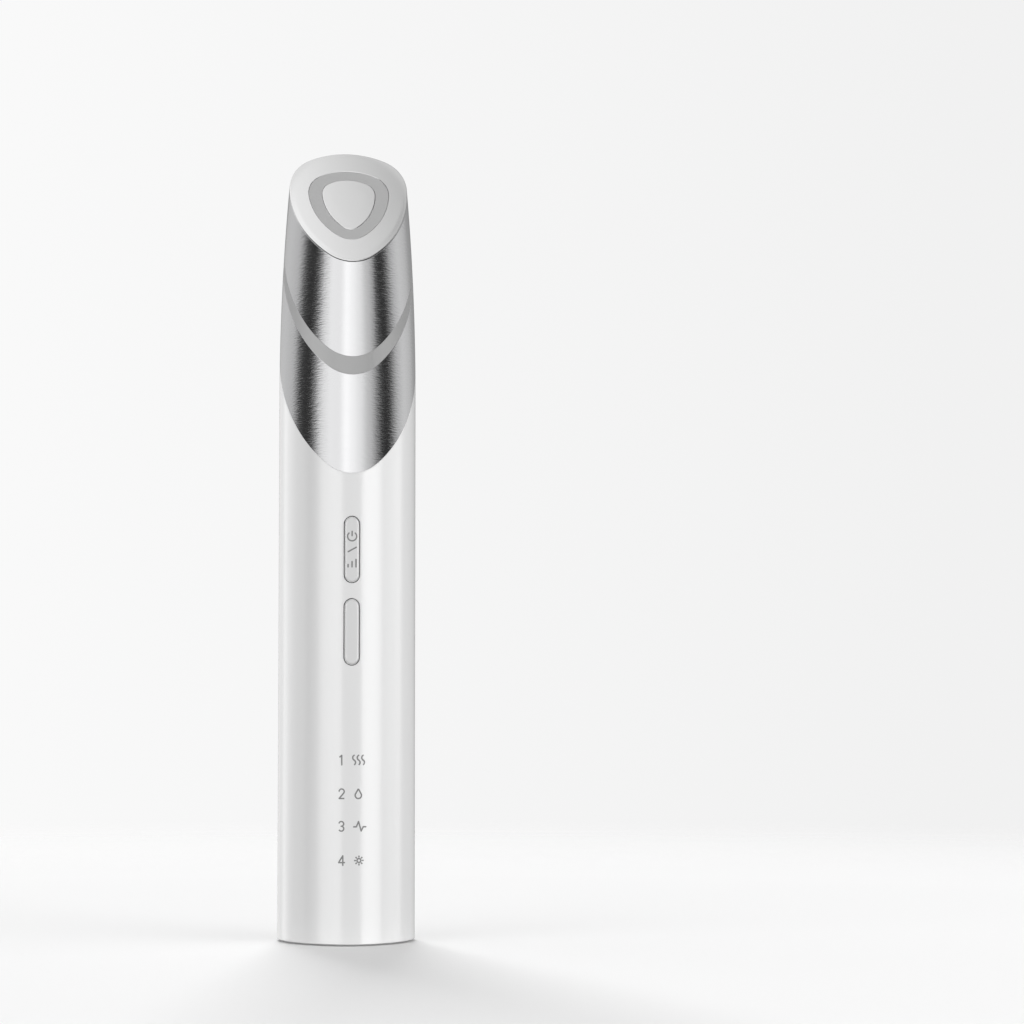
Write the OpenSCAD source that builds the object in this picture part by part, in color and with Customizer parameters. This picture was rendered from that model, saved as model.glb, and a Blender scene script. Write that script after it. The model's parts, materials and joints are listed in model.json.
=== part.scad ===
// Heated massage wand for the skin around the eyes.
// A rounded-triangle tube stands on its base, with one corner to the front.
// Four slanted planes cut it into a sleeve, a collar, a light band, an upper
// shell and the massage face. Every length is in millimetres, +Z is up and the
// origin is in the middle of the base. -Y is the front.

/* [Body section] */
// Width of the body across its two back corners
body_w = 26; // [25:0.1:28]
// Distance of the three corner centres from the middle of the section
corner_off = 5.25; // [4.9:0.05:5.6]
// Radius of the three bulged sides
side_r = 18.3; // [17.5:0.1:22]
// Wall of the lower sleeve
sleeve_wall = 1.6; // [1.3:0.1:1.9]
// Wall of the collar and of the upper shell
shell_wall = 1.2; // [1:0.1:1.5]
// Gap between parts that plug into each other
fit_gap = 0.08; // [0.05:0.01:0.15]

/* [Slanted joints] */
// Height of the sleeve along its front edge
sleeve_front = 87.5; // [82:0.5:95]
// Tilt of the sleeve's upper edge
sleeve_tilt = 52.8; // [51:0.1:54]
// Height of the collar along the front
collar_front = 18.4; // [16:0.1:22]
// Tilt of the light band's two edges
band_tilt = 52.7; // [51:0.1:54]
// Height of the light band along the front
band_front = 3.3; // [2.4:0.1:4.5]
// Height from the light band to the face's front edge
shell_front = 17.5; // [16:0.1:21]
// Tilt of the massage face
face_tilt = 46.3; // [45:0.1:48]
// Height above the sleeve's front edge at which the sides start to draw in
taper_rise = 15.2; // [12:0.1:20]
// Radius of the curve along which the sides draw in
taper_r = 466; // [420:1:800]
// Depth of the spigot that the collar pushes into the sleeve
spigot_h = 3; // [2:0.1:4]
// Wall of the spigot, of the light band's skirts and of the face plate's rim
spigot_wall = 1; // [0.8:0.05:1.2]
// Depth of the light band's two skirts
skirt_h = 2; // [1.5:0.1:2.5]

/* [Massage face] */
// Thickness of the face plate and of the centre pad
plate_t = 1; // [0.8:0.05:1.3]
// Height of the plate's edge that shows above the seam
plate_edge = 0.5; // [0.4:0.05:0.7]
// Chamfer round the plate's top edge
plate_bevel = 0.2; // [0.1:0.05:0.3]
// Height of the dark gasket in the seam
gasket_t = 0.25; // [0.2:0.05:0.4]
// How deep the plate's rim reaches into the upper shell
rim_h = 1.2; // [0.8:0.1:1.6]
// Distance of the light ring from the body's side, seen from above
ring_margin = 5.4; // [5.2:0.05:5.7]
// Width of the light ring between the face plate and the centre pad
ring_w = 2.35; // [2.2:0.05:2.7]
// Distance of the light ring's corner centres from its middle
ring_off = 3.95; // [3.7:0.05:4.1]
// Radius of the light ring's three sides
ring_side_r = 12; // [11.5:0.1:14]
// Distance of the centre pad's corner centres from its middle
pad_off = 3.2; // [2.9:0.05:3.4]
// Radius of the centre pad's three sides
pad_side_r = 12.2; // [10:0.1:14]
// How far the light ring's middle lies behind the body's axis
ring_shift = -0.8; // [-1:0.05:-0.6]
// Width of the light ring's two hidden flanges
flange_reach = 0.6; // [0.4:0.05:0.7]
// Thickness of the light ring's hidden flanges
flange_t = 0.7; // [0.5:0.05:0.9]
// Thickness of the heater film under the centre pad
heater_t = 0.25; // [0.15:0.05:0.4]
// Clear height between the face plate's underside and the head board
head_board_drop = 2.6; // [2.4:0.1:3.2]
// Thickness of the head board and of the light band's board
small_board_t = 0.8; // [0.6:0.1:1]
// Number of lamps under the light ring
ring_leds = 9; // [6:1:12]
// Number of lamps under the light band
band_leds_count = 12; // [8:1:16]

/* [Buttons] */
// Width of a button
button_w = 2.8; // [2.4:0.1:3.2]
// Length of a button
button_l = 12.2; // [11:0.1:13]
// Gap round a button
button_gap = 0.2; // [0.15:0.01:0.3]
// How far a button stands proud of the sleeve
button_proud = 0.15; // [0:0.05:0.3]
// Travel of a button
button_travel = 0.3; // [0.2:0.05:0.35]
// Height of the upper button's middle below the sleeve's front edge
button_drop = 14.2; // [13:0.1:16]
// Distance between the two buttons' middles
button_pitch = 15.3; // [14.5:0.1:17]
// Thickness of the hidden flange behind a button
button_flange_t = 0.8; // [0.6:0.1:1]
// How far the hidden flange reaches past a button
button_flange = 0.8; // [0.6:0.1:1]
// Length of the post behind a button
post_l = 1.6; // [1.2:0.1:2]
// Radius of the post behind a button
post_r = 1.1; // [0.9:0.05:1.3]
// Height of a switch on the main board
switch_h = 2.5; // [2:0.1:3]
// Width of a switch
switch_w = 6; // [5:0.1:6.5]
// Length of a switch along the wand
switch_l = 3.5; // [3:0.1:4]
// Height of a switch's plunger above its case
plunger_h = 0.8; // [0.6:0.05:1]
// Radius of a switch's plunger
plunger_r = 0.9; // [0.7:0.05:1]

/* [Base] */
// Height of the base cap's foot, which shows below the sleeve
foot_h = 0.5; // [0.3:0.1:0.8]
// How far the foot stands back from the sleeve's outside
foot_inset = 0.35; // [0.2:0.05:0.6]
// Height of the base cap's plug inside the sleeve
plug_h = 3; // [2.5:0.1:4]
// Width of the charging socket
socket_w = 8.94; // [8.8:0.02:9.1]
// Height of the charging socket's mouth side
socket_t = 3.16; // [3.1:0.02:3.3]
// Length of the charging socket
socket_l = 7.35; // [7:0.05:8]
// Sheet thickness of the charging socket
socket_sheet = 0.3; // [0.2:0.05:0.35]
// How far the socket's mouth lies above the foot
socket_recess = 0.3; // [0.1:0.05:0.6]

/* [Inner carrier] */
// Thickness of the main board
board_t = 1; // [0.8:0.1:1.6]
// Gap between the main board's edges and the sleeve
board_gap = 0.5; // [0.3:0.1:0.8]
// Height of the bosses between the main board and the carrier
boss_h = 1.2; // [1:0.1:1.6]
// Thickness of the carrier's floor
floor_t = 1.2; // [1:0.1:1.5]
// Gap between the carrier and the sleeve
carrier_gap = 0.25; // [0.15:0.05:0.3]
// Thickness of the carrier's top platform
platform_t = 3; // [2.5:0.1:4]
// Gap between the main board's upper end and the platform
board_top_gap = 0.5; // [0.3:0.1:1]
// Width of the battery
battery_w = 16; // [14:0.1:16.5]
// Thickness of the battery
battery_t = 6; // [5:0.1:6.5]
// Length of the battery
battery_l = 42; // [36:0.5:46]
// Thickness of the foam pad under the battery
foam_t = 0.5; // [0.3:0.1:0.8]
// Gap between the battery and its pocket
pocket_gap = 0.25; // [0.15:0.05:0.3]
// Wall of the battery's pocket
pocket_wall = 1; // [0.8:0.1:1.3]
// Height of the pocket's wall above the carrier's floor
pocket_h = 4.5; // [3:0.1:5]
// Radius of a screw's thread
screw_r = 0.6; // [0.5:0.05:0.7]
// Radius of a screw's head
screw_head_r = 1.2; // [1:0.05:1.3]
// Height of a screw's head
screw_head_h = 0.7; // [0.5:0.05:0.9]
// Length of a screw below its head
screw_l = 2.8; // [2.2:0.1:3]

/* [Vibration motor] */
// Radius of the motor's can
motor_r = 3; // [2.6:0.05:3.2]
// Length of the motor's can
motor_l = 10; // [8:0.1:12]
// Radius of the motor's shaft
shaft_r = 0.5; // [0.4:0.05:0.6]
// Length of the shaft above the can
shaft_l = 4.6; // [4:0.1:6]
// Radius of the off-centre weight
weight_r = 2.7; // [2.3:0.05:2.9]
// Height of the off-centre weight
weight_h = 3.5; // [2.5:0.1:3.9]
// Wall of the head frame
frame_wall = 1.2; // [1:0.05:1.4]
// Thickness of the head frame's foot plate
frame_foot_t = 1.5; // [1.2:0.1:2]

/* [Mode lights] */
// Height of the top mode mark
mark_top_z = 34.3; // [32:0.1:36]
// Distance between neighbouring mode marks
mark_pitch = 6.17; // [5.8:0.01:6.4]
// Number of mode marks
mark_count = 4; // [2:1:4]
// Width of a light well behind a mode mark
well_w = 5.6; // [4.6:0.1:6]
// Height of a light well behind a mode mark
well_h = 3.2; // [2.6:0.1:3.8]
// Wall round the light wells
well_wall = 0.8; // [0.6:0.1:1]

/* [Small parts] */
// Height of the step inside the collar above the slanted joint
ledge_h = 1.2; // [1:0.1:1.6]
// Length of a lamp under the light ring
ring_lamp_l = 1.6; // [1.2:0.1:1.8]
// Width of a lamp under the light ring
ring_lamp_w = 1.2; // [0.9:0.1:1.3]
// Length of a lamp under the light band
band_lamp_l = 1; // [0.8:0.1:1.1]
// Width of a lamp under the light band
band_lamp_w = 0.5; // [0.4:0.05:0.6]
// Height of the lamps under the light ring and under the light band
lamp_h = 0.55; // [0.4:0.05:0.6]
// Width of a mode lamp
mode_lamp_w = 1.6; // [1.2:0.1:2]
// Height of a mode lamp along the wand
mode_lamp_h = 0.8; // [0.6:0.1:1]
// Thickness of a mode lamp
mode_lamp_t = 0.6; // [0.4:0.05:0.8]
// Width of the light band's board
band_board_w = 2.2; // [1.9:0.1:2.3]
// Radius of the two stakes that hold the head board
stake_r = 0.6; // [0.5:0.05:0.65]
// Distance of the stakes from the head frame's sides
stake_edge = 1.5; // [1.4:0.05:1.7]
// Radius of the spring pin under the centre pad
pad_pin_r = 0.5; // [0.4:0.05:0.6]
// Radius of the spring pin under the face plate
plate_pin_r = 0.3; // [0.2:0.05:0.35]
// Width of the thermistor
thermistor_w = 1.6; // [1.2:0.1:1.8]
// Thickness of the thermistor
thermistor_t = 0.8; // [0.6:0.1:0.9]
// Width of the ribbon
ribbon_w = 5; // [4.5:0.1:5.2]
// Thickness of the ribbon
ribbon_t = 0.2; // [0.15:0.05:0.25]
// Depth of the shaft and its bearing in the motor's can
bearing_l = 2; // [1.5:0.1:3]
// Wall of the cradle round the motor's can
cradle_wall = 1; // [0.8:0.05:1.1]
// Radius of the bosses under the main board
boss_r = 1.6; // [1.4:0.1:2]
// Distance of the board's screws from its sides
screw_edge = 2.4; // [2.1:0.1:2.6]
// Distance of the board's upper screws below the platform
screw_drop = 6.5; // [5.5:0.1:7]
// Distance of the board's lower screws above the charging socket
screw_rise = 4; // [3.5:0.1:4.5]
// Radius of a battery lead
lead_r = 0.45; // [0.35:0.05:0.5]
// Distance between the two battery leads
lead_pitch = 2.6; // [2.2:0.1:2.8]
// Radius along which the battery leads bend
lead_bend = 2; // [1.6:0.1:2.1]
// Width of the charging socket's tongue
tongue_w = 6.7; // [6.5:0.1:6.8]
// Thickness of the charging socket's tongue
tongue_t = 0.7; // [0.6:0.05:0.8]
// Thickness of the charging socket's closed end
socket_end = 1.2; // [0.8:0.1:1.6]
// Depth of the plunger inside a switch
plunger_seat = 0.8; // [0.7:0.05:0.9]

/* [Clearances] */
// Gap round a part that slides or turns inside another
run_gap = 0.05; // [0.03:0.01:0.08]
// Gap between the motor's shaft and the weight pressed on it
press_gap = 0.01; // [0.005:0.005:0.02]
// Gap between the platform and the collar's spigot
platform_gap = 0.5; // [0.4:0.1:0.7]
// Gap round the head frame's foot
foot_gap = 0.3; // [0.2:0.05:0.5]
// Gap between the head board and the upper shell
head_board_gap = 0.25; // [0.2:0.05:0.35]
// Gap between the light band's board and the collar
band_board_gap = 0.15; // [0.12:0.01:0.2]
// Gap between the light band's lamps and its lower skirt
lamp_gap = 0.1; // [0.05:0.05:0.2]
// Gap round a screw's head
screw_gap = 0.2; // [0.15:0.05:0.3]
// Gap round a hole that a screw passes through
hole_gap = 0.1; // [0.05:0.05:0.15]
// Gap round the spring pins
pin_gap = 0.2; // [0.15:0.05:0.3]
// Gap round the ribbon where it passes through a wall
ribbon_gap = 0.4; // [0.3:0.05:0.5]
// Gap between the charging socket and the carrier
socket_gap = 0.4; // [0.3:0.05:0.5]
// Gap round the pair of battery leads
lead_gap = 0.85; // [0.7:0.05:1]
// Gap between the main board and the base cap
board_foot_gap = 0.2; // [0.15:0.05:0.3]
// Gap between the light wells and the sleeve
well_gap = 0.2; // [0.15:0.05:0.3]

/* [Hidden] */
$fn = 48;
SIDES = 72;
SWEEP = [for (i = [0:SIDES - 1]) -90 + i * 360 / SIDES];
CORNERS = [-90, 30, 150];
OVER = 1;
SPACE = 400;

// ---- the rounded triangle: corner arcs joined by wider side arcs ----
// A triangle is [half width, corner offset, side radius].
function corner_radius(tri) = tri[0] - tri[1] * cos(30);
function side_offset(tri) =
    sqrt(pow(tri[2] - corner_radius(tri), 2) - pow(tri[1] * cos(30), 2)) - tri[1] / 2;
function side_reach(tri) = atan2(tri[1] * cos(30), tri[1] / 2 + side_offset(tri));
function turn_between(a, b) = abs(((a - b) % 360 + 540) % 360 - 180);
function heading(angle) = [cos(angle), sin(angle)];
// The point of a triangle whose outward normal has the given angle, drawn in by inset.
function tri_point(tri, angle, inset) =
    let (sides = [for (c = CORNERS) if (turn_between(angle, c + 180) <= side_reach(tri)) c])
    let (near = [for (c = CORNERS) if (turn_between(angle, c) <= 60.001) c])
    len(sides) > 0
        ? side_offset(tri) * heading(sides[0]) + (tri[2] - inset) * heading(angle)
        : tri[1] * heading(near[0]) + (corner_radius(tri) - inset) * heading(angle);
function tri_front(tri) = -tri[1] - corner_radius(tri);
function tri_back(tri) = tri[2] - side_offset(tri);

// ---- the body's section and its draw-in towards the top ----
BODY = [body_w / 2, corner_off, side_r];
RING = [body_w / 2 - ring_margin, ring_off, ring_side_r];
PAD = [RING[0] - ring_w, pad_off, pad_side_r];
corner_r = corner_radius(BODY);
side_off = side_offset(BODY);
axis_y = (button_proud - tri_front(BODY) - tri_back(BODY)) / 2;
front_y = axis_y + tri_front(BODY);
taper_z = sleeve_front + taper_rise;
function draw_in(z) = pow(max(0, z - taper_z), 2) / (2 * taper_r);
function body_point(angle, inset) = tri_point(BODY, angle, inset) + [0, axis_y];
// Half width of the section at a place between the front corner and the back ones.
function half_width(y, inset) =
    sqrt(pow(side_r - inset, 2) - pow(y - axis_y - side_off / 2, 2)) - side_off * cos(30);

// ---- slanted planes: [height at the front, slope], and the rims that they cut ----
function slope_z(plane, y) = plane[0] + (y - front_y) * plane[1];
function rim_z(angle, inset, plane, tries = 8) =
    let (drawn = tries == 0 ? 0 : draw_in(rim_z(angle, inset, plane, tries - 1)))
    slope_z(plane, body_point(angle, inset + drawn)[1]);
function rim_point(angle, inset, plane) =
    let (z = rim_z(angle, inset, plane))
    let (p = body_point(angle, inset + draw_in(z)))
    [p[0], p[1], z];
function lowered(plane, drop) = [plane[0] - drop, plane[1]];
// Rims at even steps between two planes, from the given share of the way upwards.
function wall_rims(inset, low, high, from, steps) =
    [for (i = [0:steps]) [inset, low + (high - low) * (from + (1 - from) * i / steps)]];
function backwards(list) = [for (i = [len(list) - 1:-1:0]) list[i]];
function plan(rim) = [for (angle = SWEEP) let (p = rim_point(angle, rim[0], rim[1])) [p[0], p[1]]];
function tri_plan(tri, inset, middle) = [for (angle = SWEEP) tri_point(tri, angle, inset) + [0, middle]];

FOOT_TOP = [foot_h, 0];
SLEEVE_TOP = [sleeve_front, tan(sleeve_tilt)];
BAND_LOW = [sleeve_front + collar_front, tan(band_tilt)];
BAND_HIGH = [sleeve_front + collar_front + band_front, tan(band_tilt)];
FACE = [BAND_HIGH[0] + shell_front, tan(face_tilt)];
PLATE_FOOT = lowered(FACE, plate_edge);
SHELL_TOP = lowered(FACE, plate_edge + gasket_t);
PLATE_UNDER = lowered(FACE, plate_t / cos(face_tilt));
RIM_LOW = lowered(PLATE_UNDER, rim_h);
FLANGE_LOW = lowered(PLATE_UNDER, flange_t / cos(face_tilt));
HEATER_LOW = lowered(PLATE_UNDER, heater_t / cos(face_tilt));
HEAD_BOARD_TOP = lowered(PLATE_UNDER, head_board_drop / cos(face_tilt));
HEAD_BOARD_LOW = lowered(HEAD_BOARD_TOP, small_board_t / cos(face_tilt));

// Solid between rims: a closed tube wall when the rims run round a loop.
function tube_faces(loops, close) = [
    for (j = [0:loops - (close ? 1 : 2)]) for (i = [0:SIDES - 1])
    let (k = (j + 1) % loops, m = (i + 1) % SIDES)
    each [
        [j * SIDES + i, k * SIDES + i, k * SIDES + m],
        [j * SIDES + i, k * SIDES + m, j * SIDES + m]
    ]
];
function rim_points(rims) = [for (rim = rims) for (angle = SWEEP) rim_point(angle, rim[0], rim[1])];

module tube(rims) {
    polyhedron(points = rim_points(rims), faces = tube_faces(len(rims), true), convexity = 8);
}

// Solid between rims, closed by a flat cap at the first rim and at the last.
module capped(rims) {
    last = (len(rims) - 1) * SIDES;
    caps = [[for (i = [0:SIDES - 1]) i], [for (i = [SIDES - 1:-1:0]) last + i]];
    polyhedron(points = rim_points(rims), faces = concat(tube_faces(len(rims), false), caps), convexity = 8);
}

// What of its children lies between two parallel slanted planes.
module between(low, high) {
    tilt = atan(low[1]);
    intersection() {
        children();
        translate([0, front_y, low[0]]) rotate([tilt, 0, 0])
            translate([-SPACE / 2, -SPACE / 2, 0]) cube([SPACE, SPACE, (high[0] - low[0]) * cos(tilt)]);
    }
}

// A flat outline, seen from above, as a slab between two slanted planes.
module slab(low, high, outline, holes = []) {
    between(low, high) translate([0, 0, low[0] - OVER])
        linear_extrude(high[0] - low[0] + (tri_back(BODY) - tri_front(BODY)) * low[1] + 2 * OVER)
            difference() {
                polygon(outline);
                for (hole = holes) polygon(hole);
            }
}

// A box on a slanted plane, centred over a place seen from above.
module on_slope(plane, at, turn = 0) {
    translate([at[0], at[1], slope_z(plane, at[1])]) rotate([atan(plane[1]), 0, 0]) rotate([0, 0, turn])
        children();
}

module block(low, high) {
    translate(low) cube(high - low);
}

module rod_y(r, x, z, y0, y1) {
    translate([x, y1, z]) rotate([90, 0, 0]) cylinder(h = y1 - y0, r = r);
}

// An outline in the X-Z plane, extruded from y0 to y1.
module bar_y(y0, y1, z) {
    translate([0, y1, z]) rotate([90, 0, 0]) linear_extrude(y1 - y0) children();
}

function arc(centre, r, from, to, steps = 8) =
    [for (i = [0:steps]) centre + r * heading(from + (to - from) * i / steps)];
function pill(w, l) = concat(arc([0, (l - w) / 2], w / 2, 0, 180, 12), arc([0, (w - l) / 2], w / 2, 180, 360, 12));
function rounded_box(w, h, r) = concat(
    arc([w / 2 - r, h / 2 - r], r, 0, 90), arc([r - w / 2, h / 2 - r], r, 90, 180),
    arc([r - w / 2, r - h / 2], r, 180, 270), arc([w / 2 - r, r - h / 2], r, 270, 360));

// ---- heights and depths that several parts share ----
plug_top = foot_h + plug_h;
sleeve_back_z = rim_z(90, 0, SLEEVE_TOP);
taper_share = (taper_z - foot_h) / (sleeve_back_z - foot_h);
spigot_out = sleeve_wall + fit_gap;
spigot_in = spigot_out + spigot_wall;
skirt_out = shell_wall + fit_gap;
skirt_in = skirt_out + spigot_wall;
platform_top = sleeve_front - spigot_h - platform_gap;
platform_low = platform_top - platform_t;
mode_button_z = sleeve_front - button_drop;
level_button_z = mode_button_z - button_pitch;
flange_w = button_w + 2 * button_flange;
flange_l = button_l + 2 * button_flange;
inner_r = corner_r - sleeve_wall;
flange_sag = inner_r - sqrt(pow(inner_r, 2) - pow(flange_w / 2, 2));
button_back_y = front_y + sleeve_wall + flange_sag + button_flange_t;
post_end_y = button_back_y + post_l;
switch_front_y = post_end_y + plunger_h;
board_front_y = switch_front_y + switch_h;
board_back_y = board_front_y + board_t;
floor_front_y = board_back_y + boss_h;
floor_back_y = floor_front_y + floor_t;
board_half = half_width(board_front_y, sleeve_wall + board_gap);
board_top_z = platform_low - board_top_gap;
floor_half = half_width(floor_front_y, sleeve_wall + carrier_gap);
socket_y = board_back_y + socket_t / 2;
socket_round = 0.38 * socket_t;
socket_top_z = socket_recess + socket_l;
pocket_z = socket_top_z + 3 * pocket_wall;
battery_z = pocket_z + pocket_wall + pocket_gap;
battery_top_z = battery_z + battery_l;
battery_y = floor_back_y + foam_t;
pocket_top_z = battery_top_z + pocket_gap + pocket_wall;
lead_half = lead_pitch / 2 + lead_r + lead_gap;
board_screw_x = board_half - screw_edge;
board_screw_at = [
    [board_screw_x, platform_low - screw_drop], [-board_screw_x, platform_low - screw_drop],
    [board_screw_x, socket_top_z + screw_rise], [-board_screw_x, socket_top_z + screw_rise]
];

// ---- what passes through the light band's board, and the head frame inside it ----
BAND_BOARD_TOP = lowered(BAND_LOW, skirt_h + lamp_gap + lamp_h / cos(band_tilt));
BAND_BOARD_LOW = lowered(BAND_BOARD_TOP, small_board_t / cos(band_tilt));
frame_inset = skirt_out + band_board_w + foot_gap + draw_in(rim_z(90, skirt_in, HEAD_BOARD_TOP));
frame_x = corner_off * cos(30) + (corner_r - frame_inset) * cos(45);
frame_back_y = axis_y + corner_off / 2 + (corner_r - frame_inset) * sin(45);
frame_front_y = axis_y + side_off / 2 + screw_gap
    - sqrt(pow(side_r - frame_inset, 2) - pow(frame_x + side_off * cos(30), 2));
cradle_r = motor_r + run_gap + cradle_wall;
motor_y = frame_back_y - 0.75 * frame_wall - cradle_r;
frame_foot_z = platform_top;
motor_z = frame_foot_z + frame_foot_t;
stake_at = [for (side = [-1, 1]) [side * (frame_x - stake_edge), frame_back_y - stake_edge]];
frame_screw_y = frame_front_y - screw_head_r - screw_gap;
frame_screw_x = sqrt(pow(cradle_r + screw_head_r + screw_gap, 2) - pow(motor_y - frame_screw_y, 2));
frame_screw_at = [for (side = [-1, 1]) [side * frame_screw_x, frame_screw_y]];
ribbon_y = board_front_y - 6 * ribbon_t;
ring_y = axis_y + ring_shift;
pocket_front_y = front_y + skirt_in + draw_in(PLATE_UNDER[0]);
plate_pin_y = (ring_y + tri_front(RING) - flange_reach + pocket_front_y) / 2;
pad_pin_y = ring_y - pad_off / 2;

// ==== outside ====
module button_opening(z) {
    bar_y(front_y - OVER, front_y + sleeve_wall + flange_sag + OVER, z)
        polygon(pill(button_w + 2 * button_gap, button_l + 2 * button_gap));
}

module sleeve() {
    color("white") difference() {
        tube(concat(
            [[0, FOOT_TOP]],
            wall_rims(0, FOOT_TOP, SLEEVE_TOP, taper_share, 4),
            backwards(wall_rims(sleeve_wall, FOOT_TOP, SLEEVE_TOP, taper_share, 4)),
            [[sleeve_wall, FOOT_TOP]]
        ));
        button_opening(mode_button_z);
        button_opening(level_button_z);
    }
}

module base_cap() {
    color("gainsboro") difference() {
        union() {
            linear_extrude(foot_h) polygon([for (a = SWEEP) body_point(a, foot_inset)]);
            linear_extrude(plug_top) polygon([for (a = SWEEP) body_point(a, sleeve_wall + fit_gap)]);
        }
        translate([0, socket_y, -OVER]) linear_extrude(plug_top + 2 * OVER)
            polygon(rounded_box(socket_w + 2 * fit_gap, socket_t + 2 * fit_gap, socket_round));
    }
}

module collar() {
    ledge = lowered(SLEEVE_TOP, -ledge_h);
    spigot_low = lowered(SLEEVE_TOP, spigot_h);
    color("silver") tube(concat(
        wall_rims(0, SLEEVE_TOP, BAND_LOW, 0, 4),
        backwards(wall_rims(shell_wall, ledge, BAND_LOW, 0, 3)),
        [[spigot_in, ledge], [spigot_in, spigot_low], [spigot_out, spigot_low], [spigot_out, SLEEVE_TOP]]
    ));
}

module light_band() {
    low = lowered(BAND_LOW, skirt_h);
    high = lowered(BAND_HIGH, -skirt_h);
    color("darkgray") tube([
        [0, BAND_LOW], [0, BAND_HIGH], [skirt_out, BAND_HIGH], [skirt_out, high],
        [skirt_in, high], [skirt_in, low], [skirt_out, low], [skirt_out, BAND_LOW]
    ]);
}

module upper_shell() {
    color("silver") tube(concat(
        wall_rims(0, BAND_HIGH, SHELL_TOP, 0, 4),
        backwards(wall_rims(shell_wall, BAND_HIGH, SHELL_TOP, 0, 4))
    ));
}

module face_gasket() {
    color("dimgray") tube([
        [foot_inset, SHELL_TOP], [foot_inset, PLATE_FOOT], [shell_wall, PLATE_FOOT], [shell_wall, SHELL_TOP]
    ]);
}

// A shallow metal pan: its rim plugs into the upper shell and its middle is open.
module face_plate() {
    color("lightgray") difference() {
        capped([
            [skirt_in, PLATE_UNDER], [skirt_in, RIM_LOW], [skirt_out, RIM_LOW], [skirt_out, PLATE_FOOT],
            [0, PLATE_FOOT], [0, lowered(FACE, plate_bevel)], [plate_bevel, FACE]
        ]);
        slab(lowered(PLATE_UNDER, OVER), lowered(FACE, -OVER), tri_plan(RING, -fit_gap, ring_y));
    }
}

module light_ring() {
    color("gray") union() {
        slab(FLANGE_LOW, FACE, tri_plan(RING, 0, ring_y), [tri_plan(PAD, -fit_gap, ring_y)]);
        slab(FLANGE_LOW, PLATE_UNDER, tri_plan(RING, -flange_reach, ring_y),
             [tri_plan(PAD, flange_reach, ring_y)]);
    }
}

module centre_pad() {
    color("lightgray") slab(PLATE_UNDER, FACE, tri_plan(PAD, 0, ring_y));
}

// ==== head ====
module heater_film() {
    color("orange") difference() {
        slab(HEATER_LOW, PLATE_UNDER, tri_plan(PAD, 1.5 * flange_reach, ring_y));
        translate([0, pad_pin_y, HEATER_LOW[0]]) cylinder(h = SPACE / 4, r = pad_pin_r + pin_gap);
    }
}

module thermistor() {
    size = [thermistor_w, thermistor_t, thermistor_t];
    color("black") on_slope(HEATER_LOW, [0, ring_y + 1.5 * thermistor_t])
        translate([-size[0] / 2, -size[1] / 2, -size[2]]) cube(size);
}

module head_board() {
    color("darkgreen") difference() {
        slab(HEAD_BOARD_LOW, HEAD_BOARD_TOP, plan([shell_wall + head_board_gap, HEAD_BOARD_TOP]));
        for (at = stake_at)
            translate([at[0], at[1], HEAD_BOARD_LOW[0]]) cylinder(h = SPACE / 4, r = stake_r + run_gap);
    }
}

module ring_lamps() {
    color("gold") for (i = [0:ring_leds - 1])
        let (angle = -90 + i * 360 / ring_leds, at = tri_point(RING, angle, ring_w / 2) + [0, ring_y])
        on_slope(HEAD_BOARD_TOP, at)
            translate([-ring_lamp_l, -ring_lamp_w, 0] / 2) cube([ring_lamp_l, ring_lamp_w, lamp_h]);
}

// Spring pins that carry the current to the centre pad and to the face plate.
module contact_pins() {
    color("gold") between(HEAD_BOARD_TOP, PLATE_UNDER) union() {
        translate([0, pad_pin_y, HEAD_BOARD_TOP[0]]) cylinder(h = SPACE / 4, r = pad_pin_r);
        translate([0, plate_pin_y, HEAD_BOARD_TOP[0] - OVER]) cylinder(h = SPACE / 4, r = plate_pin_r);
    }
}

// An upright channel on a foot plate: it grips the motor and carries the head board on its slanted
// top, where two pins pass through the board.
module head_frame() {
    top = slope_z(HEAD_BOARD_LOW, frame_back_y) + OVER;
    color("whitesmoke") difference() {
        union() {
            between(lowered(HEAD_BOARD_LOW, SPACE / 3), HEAD_BOARD_LOW) union() {
                difference() {
                    block([-frame_x, frame_front_y, frame_foot_z], [frame_x, frame_back_y, top]);
                    block([frame_wall - frame_x, frame_front_y - OVER, frame_foot_z - OVER],
                          [frame_x - frame_wall, frame_back_y - frame_wall, top + OVER]);
                }
                for (at = stake_at) translate([at[0], at[1], frame_foot_z])
                    cylinder(h = top - frame_foot_z, r = 2 * stake_r);
            }
            translate([0, 0, frame_foot_z]) linear_extrude(frame_foot_t)
                polygon([for (a = SWEEP) body_point(a, spigot_in + foot_gap)]);
            translate([0, motor_y, frame_foot_z]) cylinder(h = frame_foot_t + motor_l - OVER, r = cradle_r);
            for (at = stake_at) between(lowered(HEAD_BOARD_LOW, OVER), HEAD_BOARD_TOP)
                translate([at[0], at[1], frame_foot_z]) cylinder(h = SPACE / 4, r = stake_r);
        }
        translate([0, motor_y, motor_z]) cylinder(h = motor_l, r = motor_r + run_gap);
        for (at = frame_screw_at)
            translate([at[0], at[1], frame_foot_z - OVER])
                cylinder(h = frame_foot_t + 2 * OVER, r = screw_r + hole_gap);
        block([-ribbon_w / 2 - ribbon_gap, front_y, frame_foot_z - OVER],
              [ribbon_w / 2 + ribbon_gap, board_front_y + ribbon_gap, frame_foot_z + frame_foot_t + OVER]);
    }
}

module band_board() {
    inset = shell_wall + band_board_gap;
    color("darkgreen") slab(BAND_BOARD_LOW, BAND_BOARD_TOP, plan([inset, BAND_BOARD_TOP]),
        [plan([inset + band_board_w, BAND_BOARD_TOP])]);
}

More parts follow.
